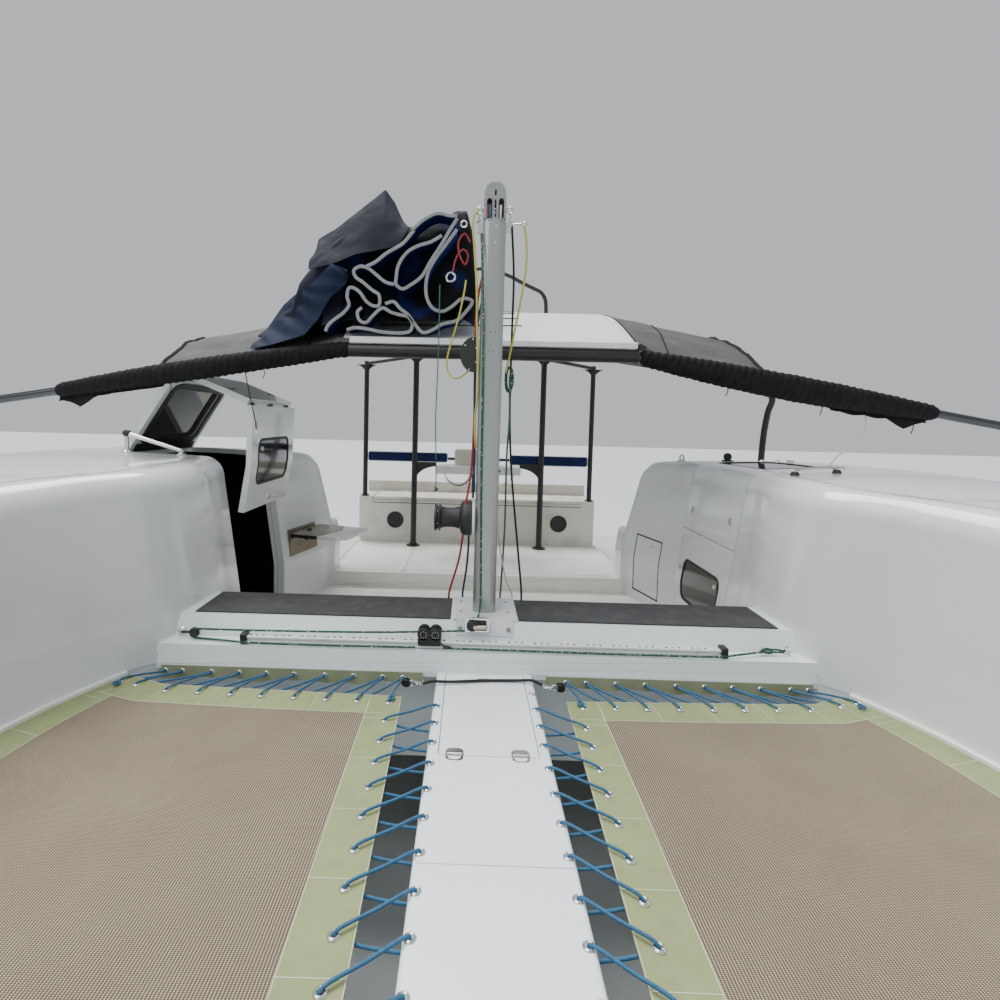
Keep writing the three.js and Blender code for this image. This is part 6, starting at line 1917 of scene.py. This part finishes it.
def buildBoard():
    low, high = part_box("folding_board")
    flat = boardFrame.copy()
    outline = [(0.004, -0.188), (0.335, -0.188), (0.388, -0.135), (0.388, 0.168), (0.004, 0.168)]
    corner = min((flat @ Vector((u, v, 0)) for u, v in outline), key=lambda point: point.x)
    shift = Vector((low[0] - corner.x + 0.0015, 0, 0))
    flat = Matrix.Translation(shift) @ flat
    flat.translation.z = 0
    shape = prism("z", outline, low[2] + 0.001, high[2] - 0.001)
    shape = cut(shape, roundedPrism("z", 0.018, 0.05, 0.0175, (0.345, 0.02), 1.0, 1.2))
    place("folding_board_shown", moved(shape, flat), whitePlastic, "folding_board", bevel=0.005,
          replaces=("folding_board",))
    rib = roundedPrism("z", 0.15, 0.13, 0.03, (0.17, -0.01), low[2] - 0.0012, low[2] + 0.002)
    place("board_underside_panel", moved(rib, flat), plateWhite, "folding_board", bevel=0.001)
    # metal cover over the inner half, with its knobs
    cover = prism("z", [(0.006, -0.1895), (0.205, -0.1895), (0.255, 0.04), (0.205, 0.169), (0.006, 0.169)],
                  high[2] - 0.0012, high[2] + 0.001)
    lip = box((0.006, -0.1908, low[2] + 0.002), (0.205, -0.1885, high[2] + 0.001))
    place("board_cover", moved([cover, lip], flat), bronzed, "folding_board", bevel=0.0005)
    edge = (low[2] + high[2]) / 2
    spots = (((0.055, -0.03, high[2] + 0.0006), (0, 0, 1)), ((0.135, -0.1905, edge), (0, -1, 0)),
             ((0.032, -0.1905, edge), (0, -1, 0)))
    knobs = [lathe([(0, 0), (0.0145, 0), (0.016, 0.002), (0.0155, 0.006), (0.012, 0.009), (0.005, 0.0095),
                    (0.004, 0.007), (0, 0.007)], point, away, 26) for point, away in spots]
    place("board_knobs", moved(knobs, flat), blackPlastic, "folding_board")


# Rudder blade from its hinge line, and the bar that joins the tillers
stern = {
    "hingeY": 4.735, "tieBar": (4.48, 0.375),
    "blade": [(-0.016, 0.378), (0.11, 0.378), (0.13, 0.25), (0.2, 0.155), (0.222, 0.125), (0.231, 0),
              (0.205, -0.56), (0.192, -0.588), (0.16, -0.608), (0.04, -0.608), (-0.016, -0.56)],
}


def buildStern():
    low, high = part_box("rudder_port")
    middle = (low[0] + high[0]) / 2
    start = stern["hingeY"]
    outline = [(start + y, z) for y, z in stern["blade"]]
    placeBoth("rudder_{}_shown", prism("x", outline, middle - 0.0175, middle + 0.0175), gelcoat,
              "rudder_{}", bevel=0.013, replaces=("rudder_{}",))
    tiller = box((middle - 0.015, 4.462, 0.331), (middle + 0.015, 4.78, 0.355))
    placeBoth("tiller_{}", tiller, alloy, "rudder_{}", bevel=0.004)
    cheeks = [box((middle - 0.0205, start - 0.012, z), (middle + 0.0205, start + 0.098, z + 0.03))
              for z in (0.27, 0.08)]
    pin = barPart((middle, start - 0.006, 0.05), (middle, start - 0.006, 0.372), 0.0085, 16)
    placeBoth("rudder_fittings_{}", [*cheeks, pin], steel, "rudder_{}", bevel=0.002)
    low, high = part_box("tie_bar")
    y, z = stern["tieBar"]
    place("tie_bar_shown", barPart((low[0] + 0.002, y, z), (high[0] - 0.002, y, z), 0.0125), alloy,
          "tie_bar", replaces=("tie_bar",))
    sleeves = [barPart((x - 0.045, y, z), (x + 0.045, y, z), 0.0138) for x in (-1.9, 0, 1.9)]
    place("tie_bar_ends", sleeves, blackPlastic, "tie_bar")


# Outboard: outline seen from the side, half width and edge width of each casting, and its propeller
outboard = {
    "shaft": -0.4, "hub": 3.8725, "blades": 3,
    "cowl": ([(3.612, 0.79), (3.8, 0.782), (3.935, 0.79), (3.965, 0.815), (3.979, 0.86), (3.972, 0.97),
              (3.952, 1.02), (3.905, 1.05), (3.82, 1.058), (3.71, 1.058), (3.655, 1.035), (3.622, 0.985),
              (3.602, 0.88)], 0.134, 0.034),
    "band": ([(3.66, 0.842), (3.925, 0.842), (3.932, 0.872), (3.655, 0.872)], 0.1352, 0),
    "pan": ([(3.582, 0.722), (3.808, 0.722), (3.85, 0.76), (3.85, 0.795), (3.632, 0.795), (3.582, 0.752)],
            0.095, 0.018),
    "leg": ([(3.632, 0.73), (3.808, 0.73), (3.8, 0.4), (3.798, 0.1), (3.672, 0.1), (3.65, 0.4)], 0.052,
            0.022),
    "lower_leg": ([(3.672, 0.12), (3.798, 0.12), (3.808, -0.36), (3.806, -0.44), (3.782, -0.565),
        (3.765, -0.578), (3.725, -0.578), (3.705, -0.56), (3.662, -0.44)], 0.021, 0.012),
}


def buildOutboard():
    for name in ("cowl", "band", "pan", "leg", "lower_leg"):
        outline, half, edge = outboard[name]
        place(f"outboard_{name}", prism("x", outline, -half, half),
              plateWhite if name == "band" else motorPaint, "outboard_motor", bevel=edge,
              replaces=("outboard_motor",) if name == "cowl" else ())
    plate = [(-0.03, 3.662), (0.03, 3.662), (0.072, 3.7), (0.084, 3.78), (0.084, 3.885), (0.06, 3.925),
             (-0.06, 3.925), (-0.084, 3.885), (-0.084, 3.78), (-0.072, 3.7)]
    place("outboard_plate", prism("z", plate, -0.124, -0.114), motorPaint, "outboard_motor", bevel=0.003)
    gear = [(0, 0), (0.014, 0.004), (0.03, 0.03), (0.041, 0.075), (0.043, 0.13), (0.041, 0.19),
            (0.033, 0.238), (0, 0.24)]
    place("outboard_gearcase", lathe(gear, (0, 3.622, outboard["shaft"]), (0, 1, 0), 28), motorPaint,
          "outboard_motor")
    grip = lathe([(0, 0), (0.016, 0), (0.018, 0.01), (0.016, 0.05), (0, 0.052)], (0.096, 3.7, 0.76),
                 (1, 0, 0), 18)
    place("outboard_grip", grip, blackPlastic, "outboard_motor")
    clamp = [(0, 0), (0.008, 0), (0.008, 0.018), (0.024, 0.02), (0.024, 0.027), (0, 0.027)]
    place("outboard_clamps", [lathe(clamp, (x, 3.5, 0.56), (0, -1, 0), 18) for x in (-0.07, 0.07)], steel)


def bladeRing(turned, share):
    reach = 0.024 + 0.093 * share
    chord = 0.03 * math.sin(math.pi * (0.16 + 0.8 * share)) ** 0.7 + 0.006
    pitch = math.radians(58 - 32 * share)
    ring = []
    for turn in turns(10):
        side, thick = chord * math.cos(turn), (0.0042 - 0.0028 * share) * math.sin(turn)
        local = Vector((side * math.cos(pitch) - thick * math.sin(pitch),
                        side * math.sin(pitch) * 0.85 + thick * math.cos(pitch), reach))
        ring.append(Vector((0, outboard["hub"] + 0.0335, outboard["shaft"])) + turned @ local)
    return ring


def buildPropeller():
    hub = lathe([(0, 0), (0.029, 0), (0.031, 0.01), (0.031, 0.045), (0.024, 0.062), (0.01, 0.07),
                 (0, 0.071)], (0, outboard["hub"], outboard["shaft"]), (0, 1, 0), 26)
    blades = []
    for turn in turns(outboard["blades"]):
        turned = Matrix.Rotation(turn, 3, "Y")
        blades.append(skin([bladeRing(turned, share) for share in shares(8)]))
    place("propeller_shown", [hub, *blades], blackMetal, "propeller", replaces=("propeller",))


def buildCockpit():
    # the floor beads and nosing take floorPaint with its painted sunlight
    for side, sign in bothSides:
        bead = [(sign * 1.085, y, 0.702) for y in (1.8, 2.1, 2.4, 2.72)]
        place(f"floor_bead_{side}", tube(bead, 0.011, 12), floorPaint)
    nosing = tube([(x, 1.7235, 0.6925) for x in (-1.08, -0.5, 0.5, 1.08)], 0.01, 12, smooth=False)
    place("floor_nosing", nosing, floorPaint)
    seams = [ribbon([(-0.541, 1.735, 0.7), (-0.541, 2.52, 0.7)], flatSection(0.005, -0.001, 0.0012, 0.001),
                    smooth=False), ribbon([(-1.02, 1.79, 0.7), (0.98, 1.79, 0.7)],
                                          flatSection(0.004, -0.001, 0.001, 0.001), smooth=False)]
    place("floor_seams", seams, creamPlastic)
    lug = roundedPrism("z", 0.018, 0.012, 0.008, (-0.541, 1.78), 0.6995, 0.7045)
    place("floor_seam_end", lug, deckPaint, bevel=0.001)


buildAftFrame()
buildBench()
buildPads()
buildTray()
buildBoard()
buildCockpit()
print("cockpit done", flush=True)
buildStern()
buildOutboard()
buildPropeller()
print("stern done", flush=True)

# Small fittings on the cabin tops and side decks
def cleatPart(centre, length=0.2):
    x, y, z = centre
    horn = tube([(x, y - length / 2, z + 0.04), (x, y - length / 4, z + 0.043), (x, y, z + 0.043),
                 (x, y + length / 4, z + 0.043), (x, y + length / 2, z + 0.04)],
                lambda share: 0.0055 + 0.006 * math.sin(math.pi * share), 12)
    legs = [lathe([(0, 0), (0.016, 0), (0.01, 0.012), (0.009, 0.036), (0, 0.038)], (x, y + shift, z),
                  (0, 0, 1), 16) for shift in (-0.032, 0.032)]
    pad = roundedPrism("z", 0.019, 0.058, 0.018, (x, y), z - 0.001, z + 0.004)
    return joined(horn, pad, *legs)


outsideDeck = deckLoft(0, -4.1, 4.6)
deckTree = BVHTree.FromPolygons([Vector(point) for point in outsideDeck[0]], outsideDeck[1])


def topAt(x, y):
    return deckTree.ray_cast(Vector((x, y, 3)), upBy(-1))[0].z


def onTop(x, y, lift=0.0):
    return Vector((x, y, topAt(x, y) + lift))


def buildTopFittings():
    fair = onTop(1.33, 1.4)
    eye = torus(fair + upBy(0.022), (1, 0.3, 0), 0.019, 0.0065, 24, 10)
    base = roundedPrism("z", 0.024, 0.034, 0.02, (fair.x, fair.y), fair.z - 0.004, fair.z + 0.006)
    place("top_fairlead", [eye, base], whitePlastic)
    spot = onTop(1.545, 1.22)
    sheave = blockPart(spot + upBy(0.028), (0.2, 1, 0), 0.024, 0.018)
    foot = roundedPrism("z", 0.026, 0.03, 0.012, (spot.x, spot.y), spot.z - 0.004, spot.z + 0.008)
    place("top_block", [sheave, foot], blackPlastic)
    ring = onTop(1.78, 1.19)
    eyes = [padEye(ring + Vector((shift, 0, 0.001)), (0, 0, 1), 0.018) for shift in (-0.035, 0.06)]
    eyes.append(padEye(onTop(1.781, 0.6, 0.001), (0, 0, 1), 0.015))
    place("top_pad_eyes", eyes, chrome)
    prop = tube([(1.795, 1.3, topAt(1.795, 1.3) - 0.01), (1.806, 1.3, 1.8), (1.822, 1.295, 1.93),
                 (1.84, 1.29, 2.02), (1.7, 1.28, 2.09), (1.42, 1.27, roofAt(1.42, 1.27) - 0.03)], 0.019, 16)
    place("canopy_prop", prop, blackMetal)
    white = [(1.781, 0.6, topAt(1.781, 0.6) + 0.018), (1.79, 0.56, 1.7), (1.805, 0.5, 1.735),
             (1.815, 0.45, 1.79), (1.81, 0.41, 1.845), (1.79, 0.392, hoopAt(1.79) - 0.032)]
    place("top_lashing", tube(white, 0.0035, 10), ropeWhite)
    grip = [(0, -0.004), (0.02, 0.02), (0.1, 0.026), (0.9, 0.026), (0.98, 0.02), (1, -0.004)]
    ends = [Vector((1.396, 0.253, 0)), Vector((1.623, 0.313, 0))]
    rail = [(*ends[0].lerp(ends[1], share)[:2], topAt(*ends[0].lerp(ends[1], share)[:2]) + z)
            for share, z in grip]
    feet = [lathe([(0, 0), (0.02, 0), (0.017, 0.01), (0.012, 0.016), (0, 0.017)], Vector(end) + upBy(0.004),
                  (0, 0, 1), 20) for end in (rail[0], rail[-1])]
    place("top_grip", tube(rail, 0.0065, 12, 0.02), steel)
    place("top_grip_feet", feet, blackPlastic)
    # grey ribbon along the moulded edge that runs forward along the shoulder: painted shade of that edge
    line = [onTop(columnAt(stations, 1, y) + 0.21, y, 0.0002)
            for y in (0.42, 0.3, 0.15, 0, -0.2, -0.4, -0.6, -0.8, -1.0, -1.2)]
    placeBoth("top_seam_{}", ribbon(line, flatSection(0.002, -0.001, 0.0005, 0.0005)), roofGrey)
    placeBoth("cleats_{}", [cleatPart((x, y, topAt(x, y))) for x, y in ((2.0, -2.9), (2.35, 3.0))], steel)
    # low stay bar beside the open hatch
    left = Vector((-1.775, 0.452, topAt(1.775, 0.452)))
    right = Vector((-1.502, 0.452, topAt(1.502, 0.452)))
    ends = [lathe([(0, 0), (0.024, 0), (0.024, 0.005), (0.011, 0.012), (0.01, high), (0, high)], spot,
                  (0, 0, 1), 20) for spot, high in ((left, 0.095), (right, 0.026))]
    stay = barPart(left + upBy(0.092), right + upBy(0.022), 0.0105, 16)
    ball = lathe([(0, -0.019), (0.012, -0.016), (0.0185, -0.006), (0.0185, 0.006), (0.012, 0.016),
                  (0, 0.019)], left + upBy(0.094), (1, 0, 0), 20)
    place("hatch_stay_bar", [stay, *ends], chrome)
    place("hatch_stay_ball", ball, blackPlastic)


buildTopFittings()
print("fittings done", flush=True)

# CAD nodes shown with softened edges: finish and edge width
# the bridge deck takes floorPaint, which holds painted sunlight
plainNodes = {"board_bracket": (bronzed, 0.001), "bow_beam": (alloy, 0.003),
              "bridge_deck": (floorPaint, 0.006), "outboard_bracket": (alloy, 0.002)}
for node, (finish, edge) in plainNodes.items():
    dress(node, finish, edge)
print("plain nodes done", flush=True)
